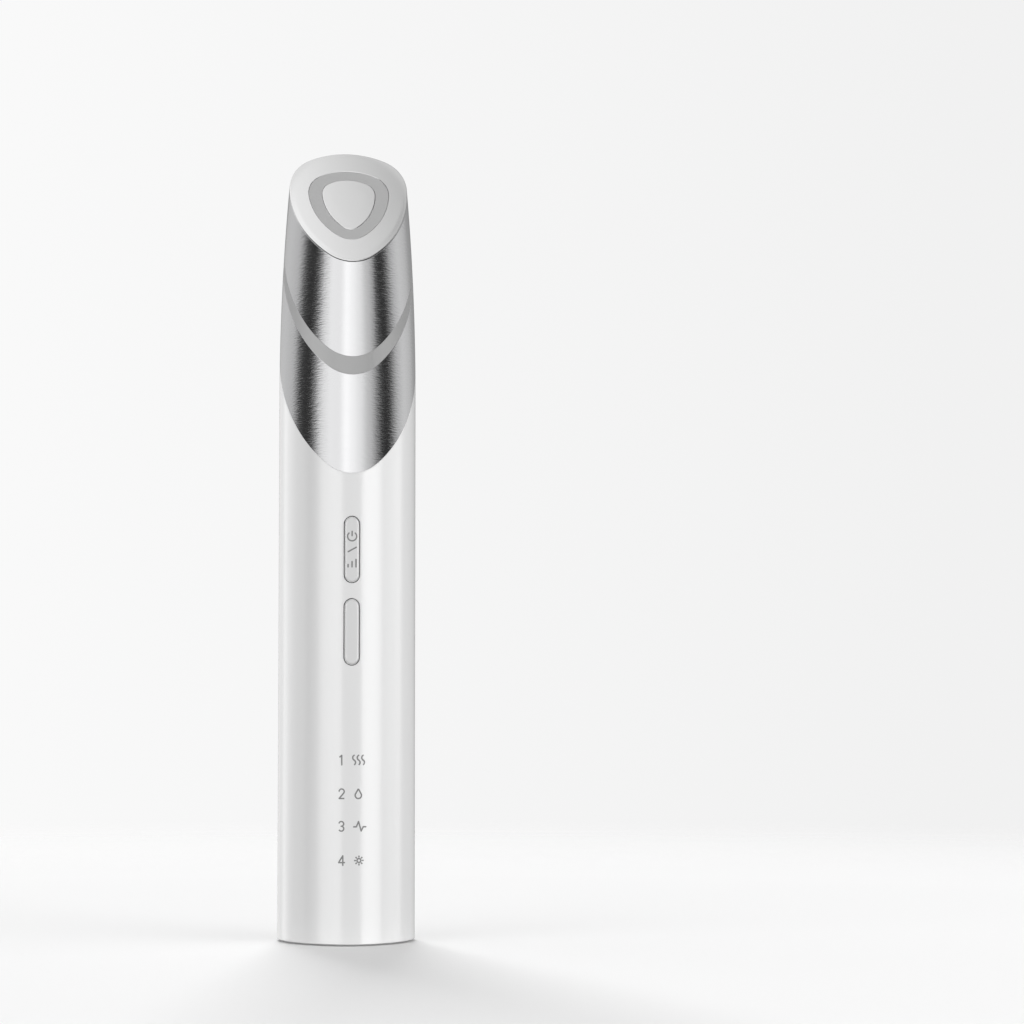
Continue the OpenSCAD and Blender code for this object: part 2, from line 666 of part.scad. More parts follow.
module band_lamps() {
    color("gold") for (i = [0:band_leds_count - 1])
        let (angle = -90 + i * 360 / band_leds_count)
        let (at = rim_point(angle, skirt_out + 0.65 * spigot_wall, BAND_BOARD_TOP))
        on_slope(BAND_BOARD_TOP, at, angle + 90)
            translate([-band_lamp_l, -band_lamp_w, 0] / 2) cube([band_lamp_l, band_lamp_w, lamp_h]);
}

module motor_can() {
    color("silver") difference() {
        translate([0, motor_y, motor_z]) cylinder(h = motor_l, r = motor_r);
        translate([0, motor_y, motor_z + motor_l - bearing_l - 4 * run_gap])
            cylinder(h = bearing_l + 4 * run_gap + OVER, r = shaft_r + run_gap);
    }
}

module motor_shaft() {
    color("silver") translate([0, motor_y, motor_z + motor_l - bearing_l])
        cylinder(h = bearing_l + shaft_l, r = shaft_r);
}

module motor_weight() {
    lift = (shaft_l - weight_h) / 3;
    color("gray") translate([0, motor_y, motor_z + motor_l + lift]) difference() {
        cylinder(h = weight_h, r = weight_r);
        translate([0, 0, -OVER]) cylinder(h = weight_h + 2 * OVER, r = shaft_r + press_gap);
        translate([-weight_r - OVER, 2 * shaft_r, -OVER])
            cube([2 * (weight_r + OVER), weight_r, weight_h + 2 * OVER]);
    }
}

// ==== inner carrier and electronics ====
module carrier() {
    pocket_half = battery_w / 2 + pocket_gap;
    pocket_l = battery_l + 2 * pocket_gap;
    color("whitesmoke") difference() {
        union() {
            block([-floor_half, floor_front_y, plug_top], [floor_half, floor_back_y, platform_top]);
            translate([0, 0, platform_low]) linear_extrude(platform_t)
                polygon([for (a = SWEEP) body_point(a, sleeve_wall + carrier_gap)]);
            block([-pocket_half - pocket_wall, floor_back_y, pocket_z],
                  [pocket_half + pocket_wall, floor_back_y + pocket_h, pocket_z + pocket_l + 2 * pocket_wall]);
            for (at = board_screw_at) rod_y(boss_r, at[0], at[1], board_back_y, floor_front_y + floor_t / 2);
        }
        block([-pocket_half, floor_back_y, pocket_z + pocket_wall],
              [pocket_half, floor_back_y + pocket_h + OVER, pocket_z + pocket_wall + pocket_l]);
        for (at = board_screw_at)
            rod_y(screw_r + run_gap, at[0], at[1], board_back_y - OVER, floor_back_y + OVER);
        for (at = frame_screw_at)
            translate([at[0], at[1], platform_low - OVER])
                cylinder(h = platform_t + 2 * OVER, r = screw_r + run_gap);
        block([-ribbon_w / 2 - ribbon_gap, front_y, platform_low - OVER],
              [ribbon_w / 2 + ribbon_gap, board_front_y + ribbon_gap, platform_top + OVER]);
        block([-socket_w / 2 - socket_gap, floor_front_y - OVER, plug_top - OVER],
              [socket_w / 2 + socket_gap, floor_back_y + OVER, socket_top_z + socket_gap]);
        block([-lead_half, floor_back_y + foam_t, battery_top_z - OVER],
              [lead_half, floor_back_y + pocket_h + OVER, pocket_top_z + OVER]);
        block([-lead_half, floor_front_y - OVER, pocket_top_z],
              [lead_half, floor_back_y + OVER, pocket_top_z + 2 * lead_bend + lead_gap]);
    }
}

module main_board() {
    color("darkgreen") difference() {
        block([-board_half, board_front_y, plug_top + board_foot_gap], [board_half, board_back_y, board_top_z]);
        for (at = board_screw_at)
            rod_y(screw_r + hole_gap, at[0], at[1], board_front_y - OVER, board_back_y + OVER);
    }
}

// The larger parts on the main board's front face. Each chip is [middle in X, middle in Z, width, length],
// in steps of an eighth of the board's half width.
module board_parts() {
    step = board_half / 8;
    chips = [[0, 8, 5, 5], [-4.6, 8.5, 2, 3], [4.6, 8, 2.4, 4], [-5.6, -4, 1.6, 2.6], [5.6, -9, 1.6, 3]];
    color("black") for (c = chips * step)
        translate([c[0] - c[2] / 2, board_front_y - board_t, mark_top_z + c[1] - c[3] / 2])
            cube([c[2], board_t, c[3]]);
}

module button(z) {
    union() {
        intersection() {
            bar_y(front_y - OVER, button_back_y, z) polygon(pill(button_w, button_l));
            translate([0, axis_y - corner_off, z - button_l])
                cylinder(h = 2 * button_l, r = corner_r + button_proud);
        }
        intersection() {
            bar_y(front_y - OVER, button_back_y, z) polygon(pill(flange_w, flange_l));
            translate([0, axis_y - corner_off, z - button_l]) cylinder(h = 2 * button_l, r = inner_r - run_gap);
        }
        rod_y(post_r, 0, z, button_back_y - button_flange_t / 2, post_end_y);
    }
}

module switch_case(z) {
    color("dimgray") difference() {
        block([-switch_w / 2, switch_front_y, z - switch_l / 2], [switch_w / 2, board_front_y, z + switch_l / 2]);
        rod_y(plunger_r + run_gap, 0, z, switch_front_y - OVER,
              switch_front_y + plunger_seat + button_travel + 4 * run_gap);
    }
}

module plunger(z) {
    color("white") rod_y(plunger_r, 0, z, post_end_y, switch_front_y + plunger_seat);
}

module mode_button() { color("white") button(mode_button_z); }
module level_button() { color("white") button(level_button_z); }
module mode_switch() { switch_case(mode_button_z); }
module level_switch() { switch_case(level_button_z); }
module mode_plunger() { plunger(mode_button_z); }
module level_plunger() { plunger(level_button_z); }

module battery() {
    color("lightsteelblue") translate([0, battery_y + battery_t / 2, battery_z])
        linear_extrude(battery_l) polygon(rounded_box(battery_w, battery_t, battery_t / 4));
}

module battery_foam() {
    edge = 2 * foam_t;
    color("gray") block([-battery_w / 2 + edge, floor_back_y, battery_z + edge],
                        [battery_w / 2 - edge, battery_y, battery_top_z - edge]);
}

// Two leads from the battery's upper end, bent over to the back of the main board.
module battery_leads() {
    y = battery_y + battery_t / 2;
    z = pocket_top_z + lead_gap;
    color("firebrick") for (x = [-lead_pitch, lead_pitch] / 2) union() {
        translate([x, y, battery_top_z]) cylinder(h = z - battery_top_z, r = lead_r);
        translate([x, y - lead_bend, z]) rotate([90, 0, 90]) rotate_extrude(angle = 90)
            translate([lead_bend, 0]) circle(r = lead_r);
        rod_y(lead_r, x, z + lead_bend, board_back_y, y - lead_bend);
    }
}

module mode_lamps() {
    color("gold") for (i = [0:mark_count - 1])
        let (z = mark_top_z - i * mark_pitch)
        block([-mode_lamp_w / 2, board_front_y - mode_lamp_t, z - mode_lamp_h / 2],
              [mode_lamp_w / 2, board_front_y, z + mode_lamp_h / 2]);
}

// One block with a well for each mode lamp, from the board to the sleeve's wall.
module light_wells() {
    half = well_w / 2 + well_wall;
    low = mark_top_z - (mark_count - 1) * mark_pitch - well_h / 2 - well_wall;
    high = mark_top_z + well_h / 2 + well_wall;
    color("white") difference() {
        intersection() {
            block([-half, front_y, low], [half, board_front_y, high]);
            translate([0, 0, low - OVER]) linear_extrude(high - low + 2 * OVER)
                polygon([for (a = SWEEP) body_point(a, sleeve_wall + well_gap)]);
        }
        for (i = [0:mark_count - 1])
            let (z = mark_top_z - i * mark_pitch)
            block([-well_w / 2, front_y - OVER, z - well_h / 2],
                  [well_w / 2, board_front_y + OVER, z + well_h / 2]);
    }
}

module charging_socket() {
    color("silver") translate([0, socket_y, socket_recess]) union() {
        difference() {
            linear_extrude(socket_l) polygon(rounded_box(socket_w, socket_t, socket_round));
            translate([0, 0, -OVER]) linear_extrude(socket_l - socket_end + OVER)
                polygon(rounded_box(socket_w - 2 * socket_sheet, socket_t - 2 * socket_sheet,
                                    socket_round - socket_sheet));
        }
        translate([-tongue_w / 2, -tongue_t / 2, tongue_t])
            cube([tongue_w, tongue_t, socket_l - 1.5 * tongue_t]);
    }
}

// Flat ribbon from the main board, up past the motor, to the underside of the head board.
module head_ribbon() {
    lift = 0.6 * ribbon_t;
    slide = ribbon_w / 2.3;
    start_y = board_front_y - ribbon_t / 2;
    top_z = slope_z(HEAD_BOARD_LOW, ribbon_y) - lift / cos(face_tilt);
    path = [
        [start_y, board_top_z - ribbon_w / 2], [start_y, board_top_z + ribbon_w / 4],
        [ribbon_y, board_top_z + 1.2 * ribbon_w],
        [ribbon_y, top_z - 3 * ribbon_t], [ribbon_y + slide * cos(face_tilt), top_z + slide * sin(face_tilt)]
    ];
    ends = len(path) - 1;
    across = [for (i = [0:ends])
        let (d = path[min(i + 1, ends)] - path[max(i - 1, 0)]) [d[1], -d[0]] * ribbon_t / 2 / norm(d)];
    sides = concat([for (i = [0:ends]) path[i] + across[i]], [for (i = [ends:-1:0]) path[i] - across[i]]);
    color("goldenrod") translate([-ribbon_w / 2, 0, 0]) rotate([90, 0, 90])
        linear_extrude(ribbon_w) polygon(sides);
}

module screw() {
    union() {
        cylinder(h = screw_head_h, r = screw_head_r);
        translate([0, 0, -screw_l]) cylinder(h = screw_l + screw_head_h / 2, r = screw_r);
    }
}

module board_screws() {
    color("silver") for (at = board_screw_at)
        translate([at[0], board_front_y, at[1]]) rotate([90, 0, 0]) screw();
}

module frame_screws() {
    color("silver") for (at = frame_screw_at) translate([at[0], at[1], frame_foot_z + frame_foot_t]) screw();
}

sleeve();
base_cap();
collar();
light_band();
upper_shell();
face_gasket();
face_plate();
light_ring();
centre_pad();
heater_film();
thermistor();
head_board();
ring_lamps();
contact_pins();
head_frame();
band_board();
band_lamps();
motor_can();
motor_shaft();
motor_weight();
carrier();
main_board();
board_parts();
mode_button();
level_button();
mode_switch();
level_switch();
mode_plunger();
level_plunger();
battery();
battery_foam();
battery_leads();
mode_lamps();
light_wells();
charging_socket();
head_ribbon();
board_screws();
frame_screws();
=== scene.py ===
"""Heated massage wand: the looks of its housing, face, buttons and marks, and a plain studio."""
import json
import math

import bmesh
import bpy
from mathutils import Matrix, Vector


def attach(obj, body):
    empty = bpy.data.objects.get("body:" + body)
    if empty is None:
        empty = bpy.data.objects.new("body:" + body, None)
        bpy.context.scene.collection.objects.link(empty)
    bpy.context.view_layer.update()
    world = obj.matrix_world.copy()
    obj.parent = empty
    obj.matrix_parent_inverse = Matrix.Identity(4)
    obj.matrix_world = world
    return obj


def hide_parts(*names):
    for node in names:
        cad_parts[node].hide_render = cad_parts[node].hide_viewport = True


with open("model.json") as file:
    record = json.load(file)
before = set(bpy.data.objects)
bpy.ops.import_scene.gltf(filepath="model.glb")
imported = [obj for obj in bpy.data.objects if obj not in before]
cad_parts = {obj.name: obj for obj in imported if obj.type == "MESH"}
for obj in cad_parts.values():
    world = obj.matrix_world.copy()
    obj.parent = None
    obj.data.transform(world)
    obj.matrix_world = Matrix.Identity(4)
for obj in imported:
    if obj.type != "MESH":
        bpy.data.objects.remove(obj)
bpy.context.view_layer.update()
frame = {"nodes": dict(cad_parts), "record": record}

MM = 0.001

# ---------------------------------------------------------------- sizes, in millimetres
# The section is a rounded triangle: corner arcs about three centres, joined by wider side arcs.
BODY_HALF = 13.0
CORNER_OFF = 5.25
SIDE_R = 18.3
SLEEVE_WALL = 1.6
SHELL_WALL = 1.2
FIT_GAP = 0.08

# Slanted planes: height along the front edge, and tilt in degrees.
SLEEVE_FRONT, SLEEVE_TILT = 87.5, 52.8
COLLAR_FRONT = 18.4
BAND_FRONT, BAND_TILT = 3.3, 52.7
SHELL_FRONT = 17.5
FACE_TILT = 46.3

# Above this rise over the sleeve's front edge, the sides draw in along an arc of this radius.
TAPER_RISE = 15.2
TAPER_R = 466.0
DRAW_ROUNDS = 8

# What plugs the tubes together: the collar's spigot, with its ledge, and the light band's two skirts.
SPIGOT_H = 3.0
SPIGOT_WALL = 1.0
LEDGE_RISE = 1.2
SKIRT_H = 2.0

# The massage face: the plate with its lower lip (insets and rises) and rim, and the gasket under it.
PLATE_T = 1.0
PLATE_EDGE = 0.18
PLATE_LIP = ((0.12, 0), (0.03, 0.05))
RIM_H = 1.2
GASKET_T, GASKET_INSET = 0.13, 0.35

# The light ring and the pad in it: half width, corner offset, side radius, and stretch from front to back.
RING_HALF, RING_OFF, RING_SIDE_R, RING_STRETCH = 7.62, 3.95, 12.0, 0.956
PAD_HALF, PAD_OFF, PAD_SIDE_R, PAD_STRETCH = 5.03, 3.1, 8.5, 1.05
RING_SHIFT = -0.97
RING_GROOVE = 0.02
PAD_ROUND = 0.05
FLANGE_REACH = 0.6
FLANGE_T = 0.7

# The face's crown: its height, how far its top lies in front of the axis, and how far it reaches.
FACE_CROWN = 0.16
CROWN_SHIFT = -1.6
CROWN_REACH = 11.5

# Insets of the loops that carry the crown in from an edge.
PLATE_LOOPS = (0.6, 1.1, 1.7, 2.3, 2.9)
RING_LOOPS = (0.6, 1.1)
PAD_LOOPS = (0.6, 1.1, 1.6, 2.1)

# The buttons: below the visible gap, a step narrows it to a slit. The drop and the pitch place them.
BUTTON_W, BUTTON_L, BUTTON_GAP = 2.6, 11.95, 0.26
BUTTON_STEP, BUTTON_SLIT = 0.32, 0.13
BUTTON_DROP, BUTTON_PITCH = 14.2, 15.3
BUTTON_PROUD = 0.15
BUTTON_DEPTH = 2.2
BUTTON_ROUND = 0.28
BUTTON_LOOPS = (0.6, 0.95, 1.25)

# Their openings flare outwards, and the sleeve has a finer grid of loops up to a margin beyond them.
OPENING_FLARE = 0.14
OPENING_MARGIN = 1.5
OPENING_GRID = 0.9

# The base cap: its foot, the insets of its flat loops, its rounding's insets and rises, and its plug.
FOOT_H = 0.35
CAP_INSET = 0.7
CAP_LOOPS = (1.2, 0.4)
CAP_ROUND = ((0.15, 0), (0.06, 0.03), (0.02, 0.09), (0, 0.2))
PLUG_H = 3.0

# The charging socket, its tongue and its contacts.
SOCKET_W, SOCKET_T, SOCKET_L = 8.94, 3.16, 7.35
SOCKET_SHEET = 0.3
SOCKET_RECESS = 0.3
SOCKET_Y = -2.629
SOCKET_ROUND = 1.2
SOCKET_END = 1.2
SOCKET_LIP, SOCKET_MARGIN = 0.25, 0.4
TONGUE_W, TONGUE_T, TONGUE_ROUND = 6.7, 0.7, 0.2
TONGUE_NOSE = (0.12, 0.15)
CONTACTS, CONTACT_PITCH, CONTACT_START = 12, 0.5, 0.5
CONTACT_W, CONTACT_T = 0.26, 0.04

# The printed marks: heights of the four mode marks, their left edge, where the pictograms start, half a
# numeral's height, the pen's width, the ink's thickness and how far each stroke lies above the one before.
MARK_Z = (34.3, 28.1, 22.1, 15.8)
MARK_X = -2.35
PICTOGRAM_X = 2.8
NUMERAL_TOP = 0.88
MARK_PEN = 0.26
INK_T = 0.012
STROKE_RISE = 0.001

# Small edge roundings that catch the light, with a supporting loop beside each.
SEAM_ROUND = 0.1
EDGE_ROUND = 0.07
ROUND_SUPPORT = 0.05
ROUND_STEPS = 3

# Steps in the outlines' arcs, and the angles, in degrees, above which an edge is drawn sharp.
CORNER_STEPS, SIDE_STEPS, PILL_STEPS, BOX_STEPS = 26, 24, 24, 8
SHARP, BUTTON_SHARP = 32, 50

# Loops up the outside of the sleeve's top, of the silver tubes and of the band, and up a tube's inside.
SLEEVE_LOOPS, SHELL_LOOPS, BAND_LOOPS, INNER_LOOPS = 10, 12, 3, 6

# The shares of the outside's height that those loops span, clear of the roundings at both ends.
SLEEVE_SPAN, SHELL_SPAN, BAND_SPAN = (0.1, 0.98), (0.02, 0.98), (0.1, 0.9)

# Vertices closer than this, in millimetres, become one: in a flat outline, and where a tube closes.
MERGE_FLAT, MERGE_TUBE = 1e-4, 1e-5


# ---------------------------------------------------------------- camera
# The camera that fits the photograph's outlines, in millimetres and degrees.
CAMERA_AT = (-34.46, -614.34, 46.11)
CAMERA_HEADING = 6.104
CAMERA_PITCH = 3.248
CAMERA_LENS = 114.07
CAMERA_SENSOR = 36.0


def make_camera():
    data = bpy.data.cameras.new("camera")
    data.lens = CAMERA_LENS
    data.sensor_width = CAMERA_SENSOR
    data.clip_start = 0.01
    data.clip_end = 20
    camera = bpy.data.objects.new("camera", data)
    camera.location = Vector(CAMERA_AT) * MM
    camera.rotation_euler = (math.radians(90 + CAMERA_PITCH), 0, math.radians(-CAMERA_HEADING))
    bpy.context.scene.collection.objects.link(camera)
    bpy.context.scene.camera = camera


make_camera()


# ---------------------------------------------------------------- the rounded triangle
def heading(degrees):
    return Vector((math.cos(math.radians(degrees)), math.sin(math.radians(degrees)), 0))


class Triangle:
    """A rounded triangle with one corner to the front.

    Its corner arcs are centred at corner_off from the middle, and half is its half width.
    """

    def __init__(self, half, corner_off, side_r, middle_y=0.0):
        self.corner_off, self.side_r = corner_off, side_r
        self.corner_r = half - corner_off * math.cos(math.radians(30))
        reach = corner_off * math.cos(math.radians(30))
        self.side_off = math.sqrt((side_r - self.corner_r) ** 2 - reach**2) - corner_off / 2
        self.side_reach = math.degrees(math.atan2(reach, corner_off / 2 + self.side_off))
        self.middle = Vector((0, middle_y, 0))

    def front(self):
        return -self.corner_off - self.corner_r

    def back(self):
        return self.side_r - self.side_off

    def arcs(self):
        """(centre, radius, first angle, last angle, steps) of each arc, anticlockwise from above."""
        turn = 60 - self.side_reach
        for corner in (-90, 30, 150):
            centre = self.middle + self.corner_off * heading(corner)
            yield centre, self.corner_r, corner - turn, corner + turn, CORNER_STEPS
            centre = self.middle + self.side_off * heading(corner - 120)
            yield centre, self.side_r, corner + turn, corner + 120 - turn, SIDE_STEPS


BODY = Triangle(BODY_HALF, CORNER_OFF, SIDE_R)
AXIS_Y = (BUTTON_PROUD - BODY.front() - BODY.back()) / 2
BODY.middle = Vector((0, AXIS_Y, 0))
FRONT_Y = AXIS_Y + BODY.front()
RING_Y = AXIS_Y + RING_SHIFT
RING = Triangle(RING_HALF, RING_OFF, RING_SIDE_R, RING_Y)
PAD = Triangle(PAD_HALF, PAD_OFF, PAD_SIDE_R, RING_Y)
FRONT_CENTRE = Vector((0, AXIS_Y - CORNER_OFF, 0))
TAPER_Z = SLEEVE_FRONT + TAPER_RISE


def draw_in(z):
    """How far the sides stand in from the straight section at a height."""
    return max(0.0, z - TAPER_Z) ** 2 / (2 * TAPER_R)


class Plane:
    """A slanted plane: its height along the body's front edge and its slope towards the back."""

    def __init__(self, front, slope):
        self.front, self.slope = front, slope

    def z(self, y):
        return self.front + (y - FRONT_Y) * self.slope

    def raised(self, rise):
        return Plane(self.front + rise, self.slope)

    def towards(self, other, share):
        front = self.front + (other.front - self.front) * share
        return Plane(front, self.slope + (other.slope - self.slope) * share)


def slanted(front, tilt):
    return Plane(front, math.tan(math.radians(tilt)))


FOOT_TOP = Plane(FOOT_H, 0)
SLEEVE_TOP = slanted(SLEEVE_FRONT, SLEEVE_TILT)
BAND_LOW = slanted(SLEEVE_FRONT + COLLAR_FRONT, BAND_TILT)
BAND_HIGH = BAND_LOW.raised(BAND_FRONT)
FACE = slanted(BAND_HIGH.front + SHELL_FRONT, FACE_TILT)
FACE_DROP = 1 / math.cos(math.radians(FACE_TILT))
PLATE_FOOT = FACE.raised(-PLATE_EDGE)
SHELL_TOP = PLATE_FOOT.raised(-GASKET_T)
PLATE_UNDER = FACE.raised(-PLATE_T * FACE_DROP)


# ---------------------------------------------------------------- outlines and sweeps
def new_bmesh():
    """An empty mesh whose vertices remember their place on the outline and its outward direction."""
    bm = bmesh.new()
    for name in ("foot", "out"):
        bm.verts.layers.float_vector.new(name)
    return bm


def layers(bm):
    return bm.verts.layers.float_vector["foot"], bm.verts.layers.float_vector["out"]


def outline(bm, arcs):
    """A closed loop of arcs in the X-Y plane, each joined to the next. Returns its edges."""
    foot, out = layers(bm)
    tips, ring = [], []
    for centre, radius, start, end, steps in arcs:
        known = set(bm.verts)
        tip = bm.verts.new(centre + radius * heading(start))
        spun = bmesh.ops.spin(bm, geom=[tip], cent=centre, axis=(0, 0, 1),
                              angle=math.radians(end - start), steps=steps)
        tips += [tip, spun["geom_last"][0]]
        made = [vert for vert in bm.verts if vert not in known]
        for vert in made:
            vert[foot], vert[out] = vert.co, (vert.co - centre).normalized()
        ring += made
    for here, there in zip(tips[1::2], tips[2::2] + tips[:1]):
        bm.edges.new((here, there))
    bmesh.ops.remove_doubles(bm, verts=ring, dist=MERGE_FLAT)
    return list(dict.fromkeys(edge for vert in ring if vert.is_valid for edge in vert.link_edges))


def loop_verts(edges):
    return list(dict.fromkeys(vert for edge in edges for vert in edge.verts))


def stretched(bm, shape, share):
    """A rounded triangle's outline, stretched from front to back about its middle. Returns its edges."""
    edges, middle_y = outline(bm, shape.arcs()), shape.middle.y
    foot, out = layers(bm)
    for vert in loop_verts(edges):
        vert[foot] = (vert[foot].x, middle_y + (vert[foot].y - middle_y) * share, 0)
        vert[out] = Vector((vert[out].x, vert[out].y / share, 0)).normalized()
    return edges


def seat(bm, edges, place):
    """Puts a loop's vertices where place says for their spot on the outline."""
    foot, out = layers(bm)
    for vert in loop_verts(edges):
        vert.co = place(vert[foot], vert[out])


def sweep(bm, edges, places, closed=False):
    """Extrudes a loop through a list of places. Returns the first and the last loop's edges."""
    seat(bm, edges, places[0])
    last = edges
    for place in places[1:] + ([places[0]] if closed else []):
        grown = bmesh.ops.extrude_edge_only(bm, edges=last)["geom"]
        verts = {g for g in grown if isinstance(g, bmesh.types.BMVert)}
        last = [g for g in grown if isinstance(g, bmesh.types.BMEdge) and set(g.verts) <= verts]
        seat(bm, last, place)
    if closed:
        bmesh.ops.remove_doubles(bm, verts=loop_verts(edges) + loop_verts(last), dist=MERGE_TUBE)
    return edges, last


def on_cut(inset, plane, drawn=True, crown=0.0):
    """A place on a slanted cut, stood in from the outline and, where drawn, from the drawn-in sides.

    Height and draw-in depend on each other, and settle within DRAW_ROUNDS.
    """
    def place(foot, out):
        point = foot - out * inset
        for _ in range(DRAW_ROUNDS if drawn else 0):
            point = foot - out * (inset + draw_in(plane.z(point.y)))
        return Vector((point.x, point.y, plane.z(point.y) + crown * crown_at(point)))
    return place


def straight(inset, plane):
    """A place on a slanted cut where the sides aren't drawn in."""
    return on_cut(inset, plane, drawn=False)


def on_face(inset, drop=0.0):
    """A place on the crowned face, or a drop below it, stood in from the ring's or the pad's outline."""
    return on_cut(inset, FACE.raised(-drop), False, FACE_CROWN)


def crown_at(point):
    """1 at the crown's top, falling to 0 at its edge."""
    away = Vector((point.x, point.y - (AXIS_Y + CROWN_SHIFT)))
    return max(0.0, 1 - (away.length / CROWN_REACH) ** 2)


def quarter(steps=ROUND_STEPS):
    """Shares of a radius, in from the wall and down from the flat, round an edge from wall to flat."""
    for k in range(steps + 1):
        angle = math.pi / 2 * k / steps
        yield 1 - math.cos(angle), 1 - math.sin(angle)


def round_over(inset, plane, radius, rising=True):
    """Places round an outer edge at the top (rising) or the bottom of a wall, in order from below.

    A supporting place just before and just after keeps the shading of the flat parts flat.
    """
    steps = [(0, radius + ROUND_SUPPORT)]
    steps += [(radius * across, radius * down) for across, down in quarter()]
    steps.append((radius + ROUND_SUPPORT, 0))
    places = [on_cut(inset + reach, plane.raised(-drop if rising else drop)) for reach, drop in steps]
    return places if rising else places[::-1]


def wall(inset, low, high, steps, first=0.0, last=1.0):
    """Places up a wall at even shares of the way from one plane to another."""
    shares = [first + (last - first) * k / steps for k in range(steps + 1)]
    return [on_cut(inset, low.towards(high, share)) for share in shares]


def bridge(bm, edges, cuts=0):
    """Joins two loops. Cuts add loops between them, seated on the crowned face."""
    made = bmesh.ops.bridge_loops(bm, edges=edges)
    if cuts:
        between = bmesh.ops.subdivide_edges(bm, edges=made["edges"], cuts=cuts, use_grid_fill=True)
        for vert in (g for g in between["geom_inner"] if isinstance(g, bmesh.types.BMVert)):
            vert.co.z = FACE.z(vert.co.y) + FACE_CROWN * crown_at(vert.co)


def plug(bm, edges, places):
    """Sweeps a loop through a list of places and closes both ends."""
    for end in sweep(bm, edges, places):
        bmesh.ops.contextual_create(bm, geom=end)


def new_object(bm, name):
    """Makes a mesh an object of the scene."""
    mesh = bpy.data.meshes.new(name)
    bm.to_mesh(mesh)
    bm.free()
    made = bpy.data.objects.new(name, mesh)
    bpy.context.scene.collection.objects.link(made)
    return made


def new_solid(bm, name):
    """Makes a mesh in millimetres an object, with its normals outwards and without the outline's layers."""
    bmesh.ops.scale(bm, vec=(MM, MM, MM), verts=bm.verts)
    bmesh.ops.recalc_face_normals(bm, faces=bm.faces)
    made = new_object(bm, name)
    for layer in ("foot", "out"):
        if layer in made.data.attributes:
            made.data.attributes.remove(made.data.attributes[layer])
    return made


def smooth(mesh, sharp=SHARP):
    mesh.shade_smooth()
    mesh.set_sharp_from_angle(angle=math.radians(sharp))


def finish_piece(bm, name, body, material, replaces=(), sharp=SHARP):
    """Turns a mesh in millimetres into a named piece that rides on a body."""
    piece = new_solid(bm, name)
    piece.data.materials.append(material)
    smooth(piece.data, sharp)
    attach(piece, body)
    if replaces:
        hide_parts(*replaces)
    return piece


def make_tube(name, places, material, node):
    """A piece of the housing whose wall is swept once round, through a closed list of places."""
    bm = new_bmesh()
    sweep(bm, outline(bm, BODY.arcs()), places, closed=True)
    return finish_piece(bm, name, "housing", material, [node])


# ---------------------------------------------------------------- materials
def linear(colour):
    """The linear RGBA of an sRGB hex colour such as "A0B0C0"."""
    channels = [int(colour[i:i + 2], 16) / 255 for i in (0, 2, 4)]
    return [c / 12.92 if c <= 0.04045 else ((c + 0.055) / 1.055) ** 2.4 for c in channels] + [1.0]


def add_node(tree, kind, links=None, **settings):
    """Adds a node. links maps an input to a value or to another node's output; settings are its options."""
    made = tree.nodes.new(kind)
    for key, value in settings.items():
        setattr(made, key, value)
    for key, value in (links or {}).items():
        if isinstance(value, bpy.types.NodeSocket):
            tree.links.new(value, made.inputs[key])
        else:
            made.inputs[key].default_value = value
    return made


def new_material(name, **sockets):
    """A Principled material. sockets are the shader's own inputs, with spaces written as underscores."""
    material = bpy.data.materials.new(name)
    material.use_nodes = True
    shader = material.node_tree.nodes["Principled BSDF"]
    for key, value in sockets.items():
        shader.inputs[key.replace("_", " ")].default_value = value
    return material, material.node_tree, shader


def object_noise(tree, scale, detail=2.0, stretch=(1, 1, 1)):
    """Noise on Object coordinates. The scale is in patches per metre."""
    coordinates = add_node(tree, "ShaderNodeTexCoord")
    mapping = add_node(tree, "ShaderNodeMapping", {"Vector": coordinates.outputs["Object"], "Scale": stretch})
    return add_node(tree, "ShaderNodeTexNoise", {"Vector": mapping.outputs[0], "Scale": scale,
                                                 "Detail": detail})


def per_mm(patch):
    """Patches per metre for a pattern whose patches are this many millimetres across."""
    return 1000.0 / patch


def remap(tree, value, start, end, low=0.0, high=1.0, **settings):
    """Maps a value from one range to another and holds it at the ends."""
    return add_node(tree, "ShaderNodeMapRange", {"Value": value, "From Min": start, "From Max": end,
                                                 "To Min": low, "To Max": high}, **settings).outputs[0]


def vary_roughness(tree, shader, noise, low, high):
    """Moves the roughness with noise, which stays mostly between 0.35 and 0.65."""
    tree.links.new(remap(tree, noise.outputs["Fac"], 0.35, 0.65, low, high), shader.inputs["Roughness"])


def add_bump(tree, shader, noise, depth_mm, strength=1.0):
    bump = add_node(tree, "ShaderNodeBump", {"Height": noise.outputs["Fac"], "Distance": depth_mm * MM,
                                             "Strength": strength})
    tree.links.new(bump.outputs[0], shader.inputs["Normal"])


def pearl_lacquer(name, colour):
    """ABS sprayed with pearl-white satin lacquer: a soft broad highlight and a faint orange peel."""
    material, tree, shader = new_material(name, Base_Color=linear(colour), Roughness=0.34,
                                          Coat_Weight=1.0, Coat_Roughness=0.2)
    peel = object_noise(tree, per_mm(0.9), 3)
    vary_roughness(tree, shader, peel, 0.31, 0.37)
    add_bump(tree, shader, peel, 0.0012)
    return material


def satin_chrome():
    """ABS plated with satin chrome and brushed round the body: reflections with softly torn edges."""
    material, tree, shader = new_material("brushed satin chrome", Base_Color=linear("DEDEDF"), Metallic=1.0,
                                          Roughness=0.16)
    brushing = object_noise(tree, per_mm(1.2), 3, (1, 1, 5))
    vary_roughness(tree, shader, brushing, 0.13, 0.18)
    add_bump(tree, shader, brushing, 0.026)
    return material


